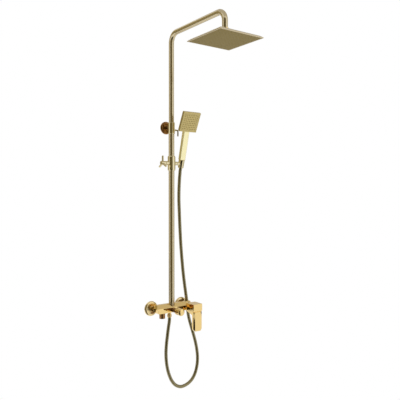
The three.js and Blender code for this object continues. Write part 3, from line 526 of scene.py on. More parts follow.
@dataclass
class Shell:
    """A mesh being gathered from several closed shapes, in millimetres."""

    name: str
    mesh: bmesh.types.BMesh = field(default_factory=bmesh.new)

    def turn(self, outline: Sequence[Pair], place: Matrix, soft: float = 0.4, sides: int = 72) -> "Shell":
        """Adds a turned shape.

        Args:
            outline: [radius, height] points, up the outside; closed when its ends are off the axis.
            place: Where the shape's axis goes.
            soft: How much its corners are rounded.
            sides: How many sides it has.

        Returns:
            This shell.
        """
        closed = outline[0][0] > 1e-6
        points = softened(outline, soft, closed)
        rings: list[list[bmesh.types.BMVert]] = []
        for radius, height in points:
            if radius < 1e-6:
                rings.append([self.mesh.verts.new(place @ Vector((0, 0, height)))])
                continue
            ring = []
            for k in range(sides):
                angle = 2 * math.pi * k / sides
                spot = Vector((radius * math.cos(angle), radius * math.sin(angle), height))
                ring.append(self.mesh.verts.new(place @ spot))
            rings.append(ring)
        pairs = list(zip(rings, rings[1:]))
        if closed:
            pairs.append((rings[-1], rings[0]))
        for low, high in pairs:
            self._band(low, high, sides)
        return self

    def _band(self, low: list[bmesh.types.BMVert], high: list[bmesh.types.BMVert], sides: int) -> None:
        """Adds the faces between two rings, either of which may be one point."""
        for k in range(sides):
            following = (k + 1) % sides
            corners = [low[k % len(low)], low[following % len(low)]]
            corners += [high[following % len(high)], high[k % len(high)]]
            unique = list(dict.fromkeys(corners))
            if len(unique) > 2:
                self.mesh.faces.new(unique)

    def rod(self, radius: float, start: float, end: float, place: Matrix, soft: float = 0.4) -> "Shell":
        """Adds a plain rod with softened ends."""
        return self.turn([(0, start), (radius, start), (radius, end), (0, end)], place, soft)

    def pipe(
        self, bore: float, radius: float, start: float, end: float, place: Matrix, soft: float = 0.25
    ) -> "Shell":
        """Adds a pipe with softened rims."""
        outline = [(bore, start), (radius, start), (radius, end), (bore, end)]
        return self.turn(outline, place, soft)

    def hull(self, points: Iterable[Point], place: Matrix, soft: float = 0.6, steps: int = 3) -> "Shell":
        """Adds the convex solid round some points, with bevelled edges.

        Args:
            points: Its corners.
            place: Where it goes.
            soft: The width of its bevels.
            steps: The faces across each bevel.

        Returns:
            This shell.
        """
        part = bmesh.new()
        for point in points:
            part.verts.new(point)
        bmesh.ops.convex_hull(part, input=part.verts)
        return self._add_bevelled(part, place, soft, steps)

    def prism(
        self, outline: Sequence[Pair], start: float, end: float, place: Matrix, soft: float = 0.6, steps: int = 3
    ) -> "Shell":
        """Adds a bar with an outline in its own X and Y, and bevelled edges.

        Args:
            outline: The outline's points.
            start: Where the bar starts along its own Z.
            end: Where it ends.
            place: Where it goes.
            soft: The width of its bevels.
            steps: The faces across each bevel.

        Returns:
            This shell.
        """
        part = bmesh.new()
        low = [part.verts.new((x, y, start)) for x, y in outline]
        high = [part.verts.new((x, y, end)) for x, y in outline]
        part.faces.new(low)
        part.faces.new(high)
        count = len(outline)
        for i in range(count):
            j = (i + 1) % count
            part.faces.new((low[i], low[j], high[j], high[i]))
        return self._add_bevelled(part, place, soft, steps)

    def _add_bevelled(self, part: bmesh.types.BMesh, place: Matrix, soft: float, steps: int) -> "Shell":
        """Bevels a small mesh and adds it to this one."""
        bmesh.ops.recalc_face_normals(part, faces=part.faces)
        bmesh.ops.dissolve_limit(part, angle_limit=0.01, verts=part.verts, edges=part.edges)
        if soft > 0:
            sharp = [e for e in part.edges if e.is_manifold and e.calc_face_angle(0.0) > 0.1]
            bmesh.ops.bevel(
                part, geom=sharp, offset=soft, offset_type="OFFSET", segments=steps,
                profile=0.5, affect="EDGES", clamp_overlap=True,
            )
        held = bpy.data.meshes.new("held")
        part.transform(place)
        part.to_mesh(held)
        part.free()
        self.mesh.from_mesh(held)
        bpy.data.meshes.remove(held)
        return self

    def sweep(
        self, stations: Sequence[tuple[Vector, Vector]], radius: float, bore: float = 0.0, sides: int = 48
    ) -> "Shell":
        """Adds a tube along stations that lie in one plane.

        Args:
            stations: Each a place and a heading, in millimetres.
            radius: The tube's radius.
            bore: Its bore, or 0 for a solid rod.
            sides: How many sides it has.

        Returns:
            This shell.
        """
        first = stations[0][1]
        across = next((h.cross(first) for _, h in stations if h.cross(first).length > 1e-3), Vector((0, 0, 1)))
        across.normalize()
        walls: list[list[list[bmesh.types.BMVert]]] = []
        for size in (radius, bore) if bore > 0 else (radius,):
            rings = []
            for place, heading in stations:
                beside = heading.cross(across).normalized()
                ring = []
                for k in range(sides):
                    angle = 2 * math.pi * k / sides
                    spot = place + size * (math.cos(angle) * across + math.sin(angle) * beside)
                    ring.append(self.mesh.verts.new(spot))
                rings.append(ring)
            for low, high in zip(rings, rings[1:]):
                self._band(low, high, sides)
            walls.append(rings)
        if bore > 0:
            for end in (0, -1):
                self._band(walls[0][end], walls[1][end], sides)
        else:
            self.mesh.faces.new(walls[0][0])
            self.mesh.faces.new(walls[0][-1])
        return self

    def piece(self, finish: Finish, body: str, nodes: Sequence[str] = (), flat: bool = False) -> bpy.types.Object:
        """Turns the gathered mesh into a dressed piece that rides on a body.

        Args:
            finish: Its finish.
            body: The body it rides on.
            nodes: The frame's nodes it stands for.
            flat: Whether its wide faces keep flat shading beside their bevels.

        Returns:
            The new object.
        """
        bmesh.ops.recalc_face_normals(self.mesh, faces=self.mesh.faces)
        self.mesh.transform(Matrix.Scale(MM, 4))
        mesh = bpy.data.meshes.new(self.name)
        self.mesh.to_mesh(mesh)
        self.mesh.free()
        mesh.shade_smooth()
        made = shown(self.name, mesh)
        if not flat:
            mesh.set_sharp_from_angle(angle=math.radians(42))
        weigh = made.modifiers.new("face weight", "WEIGHTED_NORMAL")
        weigh.weight, weigh.keep_sharp = 100, True
        mesh.materials.append(finish.material())
        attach(made, body)
        if nodes:
            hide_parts(*nodes)
        log.info("%s: %d faces", self.name, len(mesh.polygons))
        return made


def carve(piece: bpy.types.Object, cutter: Shell) -> None:
    """Cuts a shape out of a piece.

    Args:
        piece: The piece to cut.
        cutter: The closed shape to take away, in millimetres.
    """
    bmesh.ops.recalc_face_normals(cutter.mesh, faces=cutter.mesh.faces)
    cutter.mesh.transform(Matrix.Scale(MM, 4))
    mesh = bpy.data.meshes.new(cutter.name)
    cutter.mesh.to_mesh(mesh)
    cutter.mesh.free()
    tool = shown(cutter.name, mesh)
    cut = piece.modifiers.new("cut", "BOOLEAN")
    cut.operation, cut.solver, cut.object = "DIFFERENCE", "EXACT", tool
    cut.use_self = True
    piece.modifiers.move(len(piece.modifiers) - 1, 0)
    piece.modifiers["face weight"].show_viewport = False
    bpy.context.view_layer.update()
    evaluated = piece.evaluated_get(bpy.context.evaluated_depsgraph_get())
    result = bpy.data.meshes.new_from_object(evaluated)
    piece.modifiers.remove(cut)
    piece.modifiers["face weight"].show_viewport = True
    old, piece.data = piece.data, result
    bpy.data.meshes.remove(old)
    bpy.data.objects.remove(tool)
    result.name = piece.name
    result.shade_smooth()
    result.set_sharp_from_angle(angle=math.radians(30))


def bend(corners: Sequence[Point], radius: float, steps: int = 16) -> list[tuple[Vector, Vector]]:
    """Stations along a line with round right-angled corners.

    Args:
        corners: The line's corners in millimetres.
        radius: The bend radius.
        steps: Stations round each bend.

    Returns:
        Places and headings.
    """
    spots = [Vector(c) for c in corners]
    first = (spots[1] - spots[0]).normalized()
    stations = [(spots[0], first)]
    for i in range(1, len(spots) - 1):
        before = (spots[i] - spots[i - 1]).normalized()
        after = (spots[i + 1] - spots[i]).normalized()
        centre = spots[i] - before * radius + after * radius
        for k in range(steps + 1):
            angle = math.pi / 2 * k / steps
            place = centre - after * radius * math.cos(angle) + before * radius * math.sin(angle)
            stations.append((place, before * math.cos(angle) + after * math.sin(angle)))
    stations.append((spots[-1], (spots[-1] - spots[-2]).normalized()))
    return stations


# ---------------------------------------------------------------- camera and studio


@dataclass
class Studio:
    """The camera, the pale floor and the soft light."""

    eye: Point = (-1.1675, -1.8589, 0.4888)
    pitch: float = -0.874
    heading: float = -35.95
    lens: float = 46.1
    floor: float = -0.95

    def camera(self) -> None:
        """Sets the camera that looks at the column from its left front."""
        data = bpy.data.cameras.new("camera")
        data.lens, data.sensor_width = self.lens, 36.0
        data.clip_start, data.clip_end = 0.05, 60.0
        made = bpy.data.objects.new("camera", data)
        made.location = self.eye
        made.rotation_euler = (math.radians(90 + self.pitch), 0, math.radians(self.heading))
        bpy.context.scene.collection.objects.link(made)
        bpy.context.scene.camera = made

    def card(self, name: str, span: Pair, heights: Pair, tone: float, tint: Point = PAPER_TINT) -> None:
        """Stands a curved studio card that only shows in reflections.

        Args:
            name: Its name.
            span: Its ends, in degrees round from straight out of the wall, to the right.
            heights: Its lower and upper edges in metres.
            tone: How light it is.
            tint: Its colour at full tone.
        """
        far, parts = 4.0, 12
        verts: list[Point] = []
        for k in range(parts + 1):
            angle = math.radians(span[0] + (span[1] - span[0]) * k / parts)
            verts += [(math.sin(angle) * far, -0.05 - math.cos(angle) * far, z) for z in heights]
        faces = [(2 * k, 2 * k + 2, 2 * k + 3, 2 * k + 1) for k in range(parts)]
        self.paper(name, verts, faces, tone, tint)

    def paper(
        self, name: str, verts: Sequence[Point], faces: Sequence[tuple[int, ...]], tone: float,
        tint: Point = PAPER_TINT,
    ) -> None:
        """Makes a sheet that is seen only in reflections.

        Args:
            name: Its name.
            verts: Its corners in metres.
            faces: Its faces.
            tone: How light it is.
            tint: Its colour at full tone.
        """
        mesh = bpy.data.meshes.new(name)
        mesh.from_pydata(list(verts), [], list(faces))
        made = shown(name, mesh)
        paper, sheet = blank_material(name)
        glow = sheet.add("ShaderNodeEmission")
        glow.inputs["Color"].default_value = (*(tone * part for part in tint), 1)
        sheet.join(glow.outputs[0], sheet.add("ShaderNodeOutputMaterial").inputs["Surface"])
        mesh.materials.append(paper)
        made.visible_camera = made.visible_diffuse = False

    def light(self) -> None:
        """Sets the white surroundings, the cards and the floor."""
        world = bpy.data.worlds.new("studio")
        bpy.context.scene.world = world
        world.use_nodes = True
        world.node_tree.nodes["Background"].inputs["Color"].default_value = (1.0, 1.0, 1.0, 1)
        world.node_tree.nodes["Background"].inputs["Strength"].default_value = 1.0
        self.card("card_behind_camera", (-88.0, 3.0), (-2.2, 3.5), 0.15, WARM_TINT)
        self.card("card_left_rear", (-166.0, -118.0), (-2.2, -0.35), 0.05, WARM_TINT)
        self.card("card_left_rear_high", (-166.0, -118.0), (-0.35, 3.5), 0.36, WARM_TINT)
        self.card("card_right", (66.0, 92.0), (-2.2, 3.5), 0.25)
        self.card("card_right_rear", (126.0, 164.0), (-1.3, 3.5), 0.6)
        wide, high, low, deep = 3.2, 4.0, -0.9, -3.6
        over = [(-wide, -wide, high), (wide + 2, -wide, high), (wide + 2, wide, high), (-wide, wide, high)]
        self.paper("card_overhead", over, [(0, 1, 2, 3)], 0.6)
        under = [(-2.6, -0.4, low), (0.1, -0.4, low), (0.35, deep, low), (-3.6, deep, low)]
        self.paper("card_low_front", under, [(0, 1, 2, 3)], 0.02, WARM_TINT)
        mesh = bpy.data.meshes.new("floor")
        mesh.from_pydata([(x, y, self.floor) for x, y in box(20, -20, 20)], [], [(0, 1, 2, 3)])
        made = shown("floor", mesh)
        paint, sheet = blank_material("floor")
        seen, bounced = sheet.add("ShaderNodeEmission"), sheet.add("ShaderNodeEmission")
        bounced.inputs["Strength"].default_value = 0.92
        choose = sheet.add("ShaderNodeMixShader")
        sheet.join(sheet.add("ShaderNodeLightPath").outputs["Is Camera Ray"], choose.inputs[0])
        sheet.join(bounced.outputs[0], choose.inputs[1])
        sheet.join(seen.outputs[0], choose.inputs[2])
        sheet.join(choose.outputs[0], sheet.add("ShaderNodeOutputMaterial").inputs["Surface"])
        mesh.materials.append(paint)
        bpy.context.scene.view_settings.view_transform = "Standard"
        bpy.context.scene.view_settings.look = "None"


# ---------------------------------------------------------------- the hose


HOSE_ROUTE: list[Point] = [
    (48.8, -35.6, 568), (47.6, -33.6, 541), (46.3, -32.1, 498), (46.7, -30.8, 455),
    (49.2, -29.6, 412), (51.9, -28.4, 369), (54.8, -27.3, 326), (58.1, -26.2, 283),
    (62.1, -25.1, 240), (67, -24.1, 196), (72.4, -23, 152), (78.8, -22, 108),
    (86.2, -21.1, 63), (92, -20.5, 30), (96.3, -20, 4), (99, -20, -22),
    (102.5, -20.4, -48), (109, -21.1, -75), (117.4, -22.2, -103), (127, -23.3, -134),
    (137, -24.3, -169), (144.8, -25.4, -207), (147.6, -26.5, -240), (145.4, -27.6, -267),
    (139, -28.7, -292), (128, -29.8, -315), (110.5, -30.9, -334), (84.5, -32, -346.5),
    (54, -33, -349), (26, -34.1, -335), (6.5, -35.2, -312), (-5.5, -36.3, -288),
    (-15.4, -37.4, -259), (-22, -38.5, -226), (-24.8, -39.6, -191), (-23.6, -40.7, -155),
    (-20, -41.9, -121), (-15.4, -43.2, -84),
]


@dataclass
class ShowerHose:
    """The wound hose that hangs from the hand shower and loops up to the mixer's outlet."""

    leave: float = 17.6
    straight: float = 30.0
    outlet: Point = (-11.0, TUBE_LINE, -36.6)
    radius: float = 7.0
    groove: float = 0.5
    pitch: float = 3.2
    step: float = 0.8
    sides: int = 18
    share: float = 95.0

    def centres(self) -> np.ndarray:
        """Returns evenly spaced centres from the mixer's outlet up to the hand shower."""
        angle = math.radians(CUP_LEAN)
        down = np.array([0.0, math.sin(angle), -math.cos(angle)])
        top = np.array(CUP_PIVOT)
        ends = [top + down * self.leave, top + down * self.straight]
        outlet = np.array(self.outlet)
        rise = [outlet + np.array([0.0, 0.0, -13.0]), outlet]
        places = np.array([*ends, *map(np.array, HOSE_ROUTE), *rise])
        line = centripetal(places, 40)[::-1]
        along = np.concatenate([[0], np.cumsum(np.linalg.norm(np.diff(line, axis=0), axis=1))])
        count = int(along[-1] / self.step)
        wanted = np.linspace(0, along[-1], count + 1)
        return np.stack([np.interp(wanted, along, line[:, k]) for k in range(3)], axis=1)

    def build(self) -> None:
        """Makes the hose in three lengths."""
        line = self.centres()
        spare = int(self.share / self.step)
        cuts = [0, len(line) - 1 - 2 * spare, len(line) - 1 - spare, len(line) - 1]
        names = ["hose_hanging", "hose_under_slider", "hose_under_handset"]
        bodies = [("root", "slider"), ("slider", "holder"), ("holder", "handset")]
        for i, (name, pair) in enumerate(zip(names, bodies)):
            made = self.tube(name, line, cuts[i], cuts[i + 1])
            if i == 0:
                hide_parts("shower_hose")
            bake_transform(made)

    def tube(self, name: str, line: np.ndarray, first: int, last: int) -> bpy.types.Object:
        """Makes one length of wound tube.

        Args:
            name: The piece's name.
            line: The whole hose's centres.
            first: The first centre of this length.
            last: The last centre.

        Returns:
            The new object, with its ring height kept as an attribute.
        """
        heading = np.gradient(line, axis=0)
        heading /= np.linalg.norm(heading, axis=1)[:, None]
        side = np.array([1.0, 0.0, 0.0])
        sides: list[np.ndarray] = []
        for h in heading:
            side = side - h * (side @ h)
            side = side / np.linalg.norm(side)
            sides.append(side)
        angles = np.arange(self.sides) / self.sides * 2 * math.pi
        verts: list[np.ndarray] = []
        ridge: list[np.ndarray] = []
        for i in range(first, last + 1):
            turn = (i * self.step / self.pitch + angles / (2 * math.pi)) % 1.0
            high = np.clip(1.6 * np.sin(math.pi * turn), 0, 1)
            size = self.radius - self.groove * (1 - high)
            other = np.cross(heading[i], sides[i])
            ring = np.outer(np.cos(angles), sides[i]) + np.outer(np.sin(angles), other)
            verts.append(line[i] + ring * size[:, None])
            ridge.append(high)
        count = last - first + 1
        n = self.sides
        grid = np.arange(count * n).reshape(count, n)
        low, high_ring = grid[:-1], grid[1:]
        quads = np.stack([low, np.roll(low, -1, 1), np.roll(high_ring, -1, 1), high_ring], axis=2).reshape(-1, 4)
        faces = quads.tolist() + [grid[0][::-1].tolist(), grid[-1].tolist()]
        mesh = bpy.data.meshes.new(name)
        mesh.from_pydata((np.concatenate(verts) * MM).tolist(), [], faces)
        kept = mesh.attributes.new("ridge", "FLOAT", "POINT")
        kept.data.foreach_set("value", np.concatenate(ridge).astype(np.float32))
        mesh.shade_smooth()
        mesh.materials.append(HOSE.material())
        return shown(name, mesh)


def between(low: np.ndarray, high: np.ndarray, start: float, end: float, at: float) -> np.ndarray:
    """The place between low and high that a value between start and end stands for."""
    return (end - at) / (end - start) * low + (at - start) / (end - start) * high


def centripetal(places: np.ndarray, steps: int) -> np.ndarray:
    """A smooth curve through places.

    Args:
        places: The places it passes through.
        steps: Points between each two places.

    Returns:
        Points along the curve.
    """
    ends = [2 * places[0] - places[1], *places, 2 * places[-1] - places[-2]]
    out: list[np.ndarray] = []
    for i in range(1, len(ends) - 2):
        p = ends[i - 1 : i + 3]
        gaps = [max(float(np.linalg.norm(p[k + 1] - p[k])) ** 0.5, 1e-4) for k in range(3)]
        t = np.concatenate([[0], np.cumsum(gaps)])
        for s in np.linspace(t[1], t[2], steps, endpoint=False):
            level = p
            for reach in (1, 2):
                level = [between(level[k], level[k + 1], t[k], t[k + reach], s) for k in range(4 - reach)]
            out.append(between(level[0], level[1], t[1], t[2], s))
    out.append(places[-1])
    return np.array(out)


# ---------------------------------------------------------------- mixer


@dataclass
class Inlet:
    """One wall connection: cover plate, offset union and its nut."""

    side: str
    hand: float
    spacing: float = 75.0
    inset: float = 9.0
    plate: float = 31.0
    thick: float = 8.0

    def build(self) -> None:
        """Makes the inlet's pieces."""
        x = self.hand * self.spacing
        body_x = x - self.hand * self.inset
        cover_plate(f"cover_plate_{self.side}", self.plate, self.thick, 10.9, out_of_wall(x, 0)).piece(
            COVER_GOLD, "root", [f"inlet_rosette_{self.side}"]
        )
        union = Shell(f"offset_union_{self.side}")
        union.rod(10.5, 0, 12.5, out_of_wall(x, 0), 1.2)
        union.rod(10.5, 9.5, 26.5, out_of_wall(body_x, 0), 1.2)
        union.piece(GOLD, "root", [f"inlet_union_{self.side}"])
        nut = Shell(f"union_nut_hex_{self.side}")
        corners = [(15 * math.cos(math.radians(60 * k)), 15 * math.sin(math.radians(60 * k))) for k in range(6)]
        nut.prism(corners, 14.0, 29.7, out_of_wall(body_x, 0), 0.9)
        nut.piece(GOLD, "root", [f"union_nut_{self.side}"], flat=True)


def cover_plate(name: str, radius: float, thick: float, bore: float, place: Matrix) -> Shell:
    """A round wall cover with a rounded shoulder and a shallow dish round its bore.

    Args:
        name: The piece's name.
        radius: Its radius.
        thick: Its thickness.
        bore: Its bore radius.
        place: Where its axis goes.

    Returns:
        The shell.
    """
    outline: list[Pair] = [(bore, 0.0), (radius, 0.0), (radius, 0.35 * thick)]
    reach = radius * 0.3
    for angle in arc(0, math.pi / 2, 6)[1:]:
        outline.append((radius - reach * (1 - math.cos(angle)), thick * (0.35 + 0.65 * math.sin(angle))))
    outline.append((bore, thick))
    return Shell(name).turn(outline, place, 0.35, 96)


@dataclass
class MixerBody:
    """The faceted bar that carries both valves, with the boss for the cartridge."""

    left: float = -80.0
    right: float = 97.0
    left_point: float = 10.0
    right_point: float = 3.0
    bottom: float = -15.0
    ridge: float = 6.0
    top: float = 20.0
    section: tuple[Pair, ...] = ((-30, -15), (-30, 6), (-30, 20), (-46, 20), (-60, 6), (-60, -15))

    def build(self) -> None:
        """Makes the body."""
        points: list[Point] = []
        for y, z in self.section:
            on_ridge = z == self.ridge
            points.append((self.left + (0 if on_ridge else self.left_point), y, z))
            points.append((self.right - (0 if on_ridge else self.right_point), y, z))
        body = Shell("mixer_bar").hull(points, Matrix.Identity(4), 0.7)
        body.rod(17.0, 56.0, 64.0, out_of_wall(79.5, 2.5), 0.8)
        body.piece(GOLD, "root", ["mixer_body"], flat=True)


@dataclass
class MixerLever:
    """The block-and-blade handle of the mixer, and the dome it turns on."""

    across: float = 79.5
    height: float = 2.5
    width: float = 44.0
    blade: float = 95.5
    edge: float = 8.0

    def build(self) -> None:
        """Makes the dome and the handle."""
        dome = [(9.6, 64.3), (10.9, 64.3)]
        dome += [(math.sqrt(14.6**2 - along**2), 84 + along) for along in arc(-9.7, 9.7, 16)]
        dome.append((9.6, 93.7))
        Shell("cartridge_dome").turn(dome, out_of_wall(self.across, self.height), 0.3).piece(
            DARK_GOLD, "root", ["cartridge_bonnet"]
        )
        half = self.width / 2
        place = Matrix.Translation((self.across - half, 0, self.height)) @ Matrix(
            ((0, 0, 1, 0), (1, 0, 0, 0), (0, 1, 0, 0), (0, 0, 0, 1))
        )
        side = [
            (-73, -17.5), (-73, 17.5), (-125, 17.5), (-125, -12.5), (-117.5, -12.5), (-117.5, -30), (-112.8, -28),
        ]
        handle = Shell("mixer_lever").prism(side, 0, self.width, place, 0.7)
        points: list[Point] = []
        slim = half - self.edge
        for z in (-15.0, -self.blade + self.edge + 1):
            points += [(-half, -112.7, z), (half, -112.7, z), (-half, -121.7, z), (half, -121.7, z)]
        for z in (-15.0, -self.blade):
            points += [(-slim, -112.7, z), (slim, -112.7, z), (-slim, -124.7, z), (slim, -124.7, z)]
        handle.hull(points, Matrix.Translation((self.across, 0, self.height)), 0.6)
        made = handle.piece(GOLD, "mixer_handle", ["mixer_handle"], flat=True)
        hollow = Shell("handle_hollow").rod(15.9, 60, 98.7, out_of_wall(self.across, self.height), 0)
        carve(made, hollow)


@dataclass
class Diverter:
    """The round diverter knob and the sleeve behind it."""

    height: float = -4.5
    radius: float = 15.0
    back: float = 89.8
    length: float = 35.0

    def build(self) -> None:
        """Makes the sleeve and the knob."""
        place = out_of_wall(0, self.height)
        sleeve: list[Pair] = [(6.5, 60.3), (10.0, 60.3)]
        for groove in (68.0, 74.0, 80.0):
            sleeve += [(10.0, groove), (8.9, groove + 0.8), (8.9, groove + 1.8), (10.0, groove + 2.6)]
        sleeve += [(10.0, 88.3), (6.5, 88.3)]
        Shell("diverter_sleeve").turn(sleeve, place, 0.4).piece(DARK_GOLD, "root", ["diverter_bonnet"])
        r, start = self.radius, self.back
        outline: list[Pair] = [
            (3.4, start), (r - 0.6, start), (r, start + 1), (r, start + 12), (r - 1.5, start + 12.4),
            (r - 1.5, start + 14.8), (r, start + 15.2),
        ]
        for angle in arc(0, math.pi / 2, 8):
            outline.append((r * math.cos(angle), start + self.length - 6 + 6 * math.sin(angle)))
        outline[-1] = (0.4, start + self.length)
        outline += [(0.4, start + 13.4), (3.4, start + 13.4)]
        Shell("diverter_knob_turned").turn(outline, place, 0.35, 96).piece(GOLD, "diverter", ["diverter_knob"])


@dataclass
class Outlets:
    """The spout with its aerator, and the hose connection, both under the mixer."""

    top: float = -15.3

    def build(self) -> None:
        """Makes the spout, the nipple and the hose nut."""
        t = self.top
        place = upright(-46.5, TUBE_LINE)
        outline = [(0, t - 3), (9.7, t - 3), (9.7, t - 22), (11.4, t - 22), (12.3, t - 21), (12.3, t), (0, t)]
        Shell("spout_housing").turn(outline, place, 0.5).piece(DARK_GOLD, "root", ["outlet_housing"])
        insert = Shell("aerator_grid").rod(9.25, t - 20.4, t - 9, place, 0.4)
        for ring in (2.6, 5.0, 7.4):
            insert.pipe(ring - 0.35, ring + 0.35, t - 21.2, t - 20.2, place, 0.1)
        for k in range(6):
            spin = place @ Matrix.Rotation(math.radians(30 * k), 4, "Z")
            insert.prism(box(8.4, -0.3, 0.3), t - 21.2, t - 20.2, spin, 0.1, 1)
        insert.piece(WHITE, "root", ["outlet_aerator"])
        port = upright(-11, TUBE_LINE)
        Shell("hose_connection").pipe(4.2, 6.2, t - 16, t, port).piece(GOLD, "root", ["hose_nipple"])
        nut = Shell("hose_nut_ribbed")
        low, high = t - 21, t - 7
        nut.turn(
            [(6.6, low), (8.5, low), (9.3, low + 1), (9.3, low + 3.2), (8.9, low + 3.6), (8.9, high - 3.6),
             (9.3, high - 3.2), (9.3, high - 1), (8.5, high), (6.6, high)],
            port, 0.3,
        )
        for k in range(24):
            spin = port @ Matrix.Rotation(math.radians(15 * k), 4, "Z")
            nut.hull(
                list(product((8.5, 9.35), (-0.45, 0.45), (low + 3.4, high - 3.4))), spin, 0.15, 1
            )
        nut.piece(GOLD, "root", ["hose_nut_lower"])


# ---------------------------------------------------------------- riser, bracket and arm


@dataclass
class Riser:
    """The fixed lower tube and the telescopic upper tube."""

    axis: Pair = (0.0, TUBE_LINE)

    def build(self) -> None:
        """Makes both tubes."""
        place = upright(*self.axis)
        Shell("lower_tube").pipe(11.5, 12.3, 4, 741, place, 0.3).piece(TUBE, "root", ["riser_tube"])
        Shell("upper_tube_drawn").pipe(TUBE_BORE, TUBE_WIDE, 531, 1007.7, place, 0.3).piece(
            TUBE, "column", ["upper_tube"]
        )


@dataclass
class WallBracket:
    """The collar that holds the riser off the wall, with its height lock."""

    height: float = 757.0
    length: float = 48.0
    arm: float = 762.0
    lock: float = 750.0

    def build(self) -> None:
        """Makes the collar, the wall plate and the lock lever."""
        axis = upright(0, TUBE_LINE)
        foot, top = self.height - self.length / 2, self.height + self.length / 2
        collar = Shell("bracket_collar")
        collar.turn(
            [(12.7, foot), (13.4, foot), (14.4, foot + 1.2), (14.4, top - 1.2), (13.4, top), (11.5, top),
             (11.5, 769.6), (11.5, 741.3), (12.7, 741.3)],
            axis, 0.5,
        )
        collar.pipe(4.5, 9.0, 1, 31.5, out_of_wall(0, self.arm), 0.3)
        collar.pipe(3.5, 5.2, 12.6, 17.4, to_the_right(TUBE_LINE, self.lock), 0.4)
        collar.piece(PALE_GOLD, "root", ["wall_bracket"])
        cover = cover_plate("bracket_cover", 27, 8, 9.4, out_of_wall(0, self.arm))
        cover.piece(DARK_GOLD, "root", ["bracket_rosette"])
        out = 32.4
        corners = [(x, TUBE_LINE, self.lock - fall) for x, fall in ((13.4, 0.0), (out, 0.0), (out, 24.5))]
        lever = Shell("lock_lever").sweep(bend(corners, 6.0, 10), 3.0, sides=32)
        tip = upright(out, TUBE_LINE, self.lock)
        lever.turn(
            [(0, -25.4), (2.0, -25.2), (2.8, -24.6), (3.0, -23.8), (0, -23.0)], tip, 0.1, 32
        )
        lever.piece(OLIVE, "lock_lever", ["height_lock_lever"])


@dataclass
class Arm:
    """The curved arm and the swivel at its end."""

    seam: float = 1008.0
    height: float = 1150.0
    reach: float = 358.0
    drop: float = 1080.0
    radius: float = 40.0

    def build(self) -> None:
        """Makes the arm, the swivel nut and the ball."""
        far = TUBE_LINE - self.reach
        turns = ((TUBE_LINE, self.seam), (TUBE_LINE, self.height), (far, self.height), (far, self.drop))
        corners = [(0.0, y, z) for y, z in turns]
        Shell("curved_arm").sweep(bend(corners, self.radius, 24), TUBE_WIDE, TUBE_BORE, 64).piece(
            TUBE, "gooseneck", ["gooseneck_arm"]
        )
        place = upright(0, far, self.drop - 10)
        nut: list[Pair] = [(8.3, -9.8), (12.5, -9.8), (13.5, -8.8), (13.5, 13.0), (12.5, 14.0), (11.5, 14.0),
                           (11.5, 9.7), (10.4, 9.7), (10.4, 3.0)]
        nut += [(math.sqrt(10.7**2 - z**2), z) for z in arc(1.5, -7.7, 8)]
        Shell("swivel_nut_turned").turn(nut, place, 0.4).piece(GOLD, "gooseneck", ["swivel_nut"])
        ball: list[Pair] = [(0, -23.0), (4.6, -23.0)]
        ball += [(math.sqrt(max(8.5**2 - z**2, 0.0)), z) for z in arc(-7.15, 8.5, 16)]
        Shell("swivel_ball_turned").turn(ball, place, 0.1).piece(GOLD, "rain_head", ["swivel_ball"])


@dataclass
class RainHead:
    """The thin square rain head with its nozzle plate."""

    centre: Pair = (0.0, TUBE_LINE - 358.0)
    side: float = 198.0
    bottom: float = 1040.0
    rim: float = 2.0
    rise: float = 7.0
    inset: float = 9.0
    rows: int = 12
    nozzle: float = 1.4

    def build(self) -> None:
        """Makes the shell, the plate and its nozzles."""
        x0, y0 = self.centre
        place = upright(x0, y0, self.bottom)
        half, slim = self.side / 2, self.side / 2 - self.inset
        points = [(sx * half, sy * half, z) for sx in (-1, 1) for sy in (-1, 1) for z in (0.0, self.rim)]
        points += [(sx * slim, sy * slim, self.rim + self.rise) for sx in (-1, 1) for sy in (-1, 1)]
        shell = Shell("rain_head_pan").hull(points, place, 0.5)
        shell.turn([(4.9, 6), (11, 6), (11, 12.2), (10.2, 13), (4.9, 13)], place, 0.5)
        made = shell.piece(TUBE, "rain_head", ["rain_head_shell"], flat=True)
        pocket = half - 5.0
        square = box(pocket, -pocket, pocket)
        carve(made, Shell("plate_pocket").prism(square, -2, 1.6, place, 0))
        flat = pocket - 0.4
        square = box(flat, -flat, flat)
        plate = Shell("rain_plate").prism(square, 0.0, 1.3, place, 0.25, 2)
        plate.piece(HEAD_PLATE, "rain_head", ["rain_head_face"], flat=True)
        tips = Shell("rain_nozzles")
        r = self.nozzle
        rows = arc(10 - flat, flat - 10, self.rows - 1)
        for x, y in product(rows, rows):
            spot = place @ Matrix.Translation((x, y, 0))
            tips.turn([(r, 0.4), (r, 0.05), (r * 0.6, -0.5), (0.3, -0.3), (0, 0.4)], spot, 0.0, 12)
        tips.piece(HEAD_PLATE, "rain_head")


# ---------------------------------------------------------------- slider and hand shower


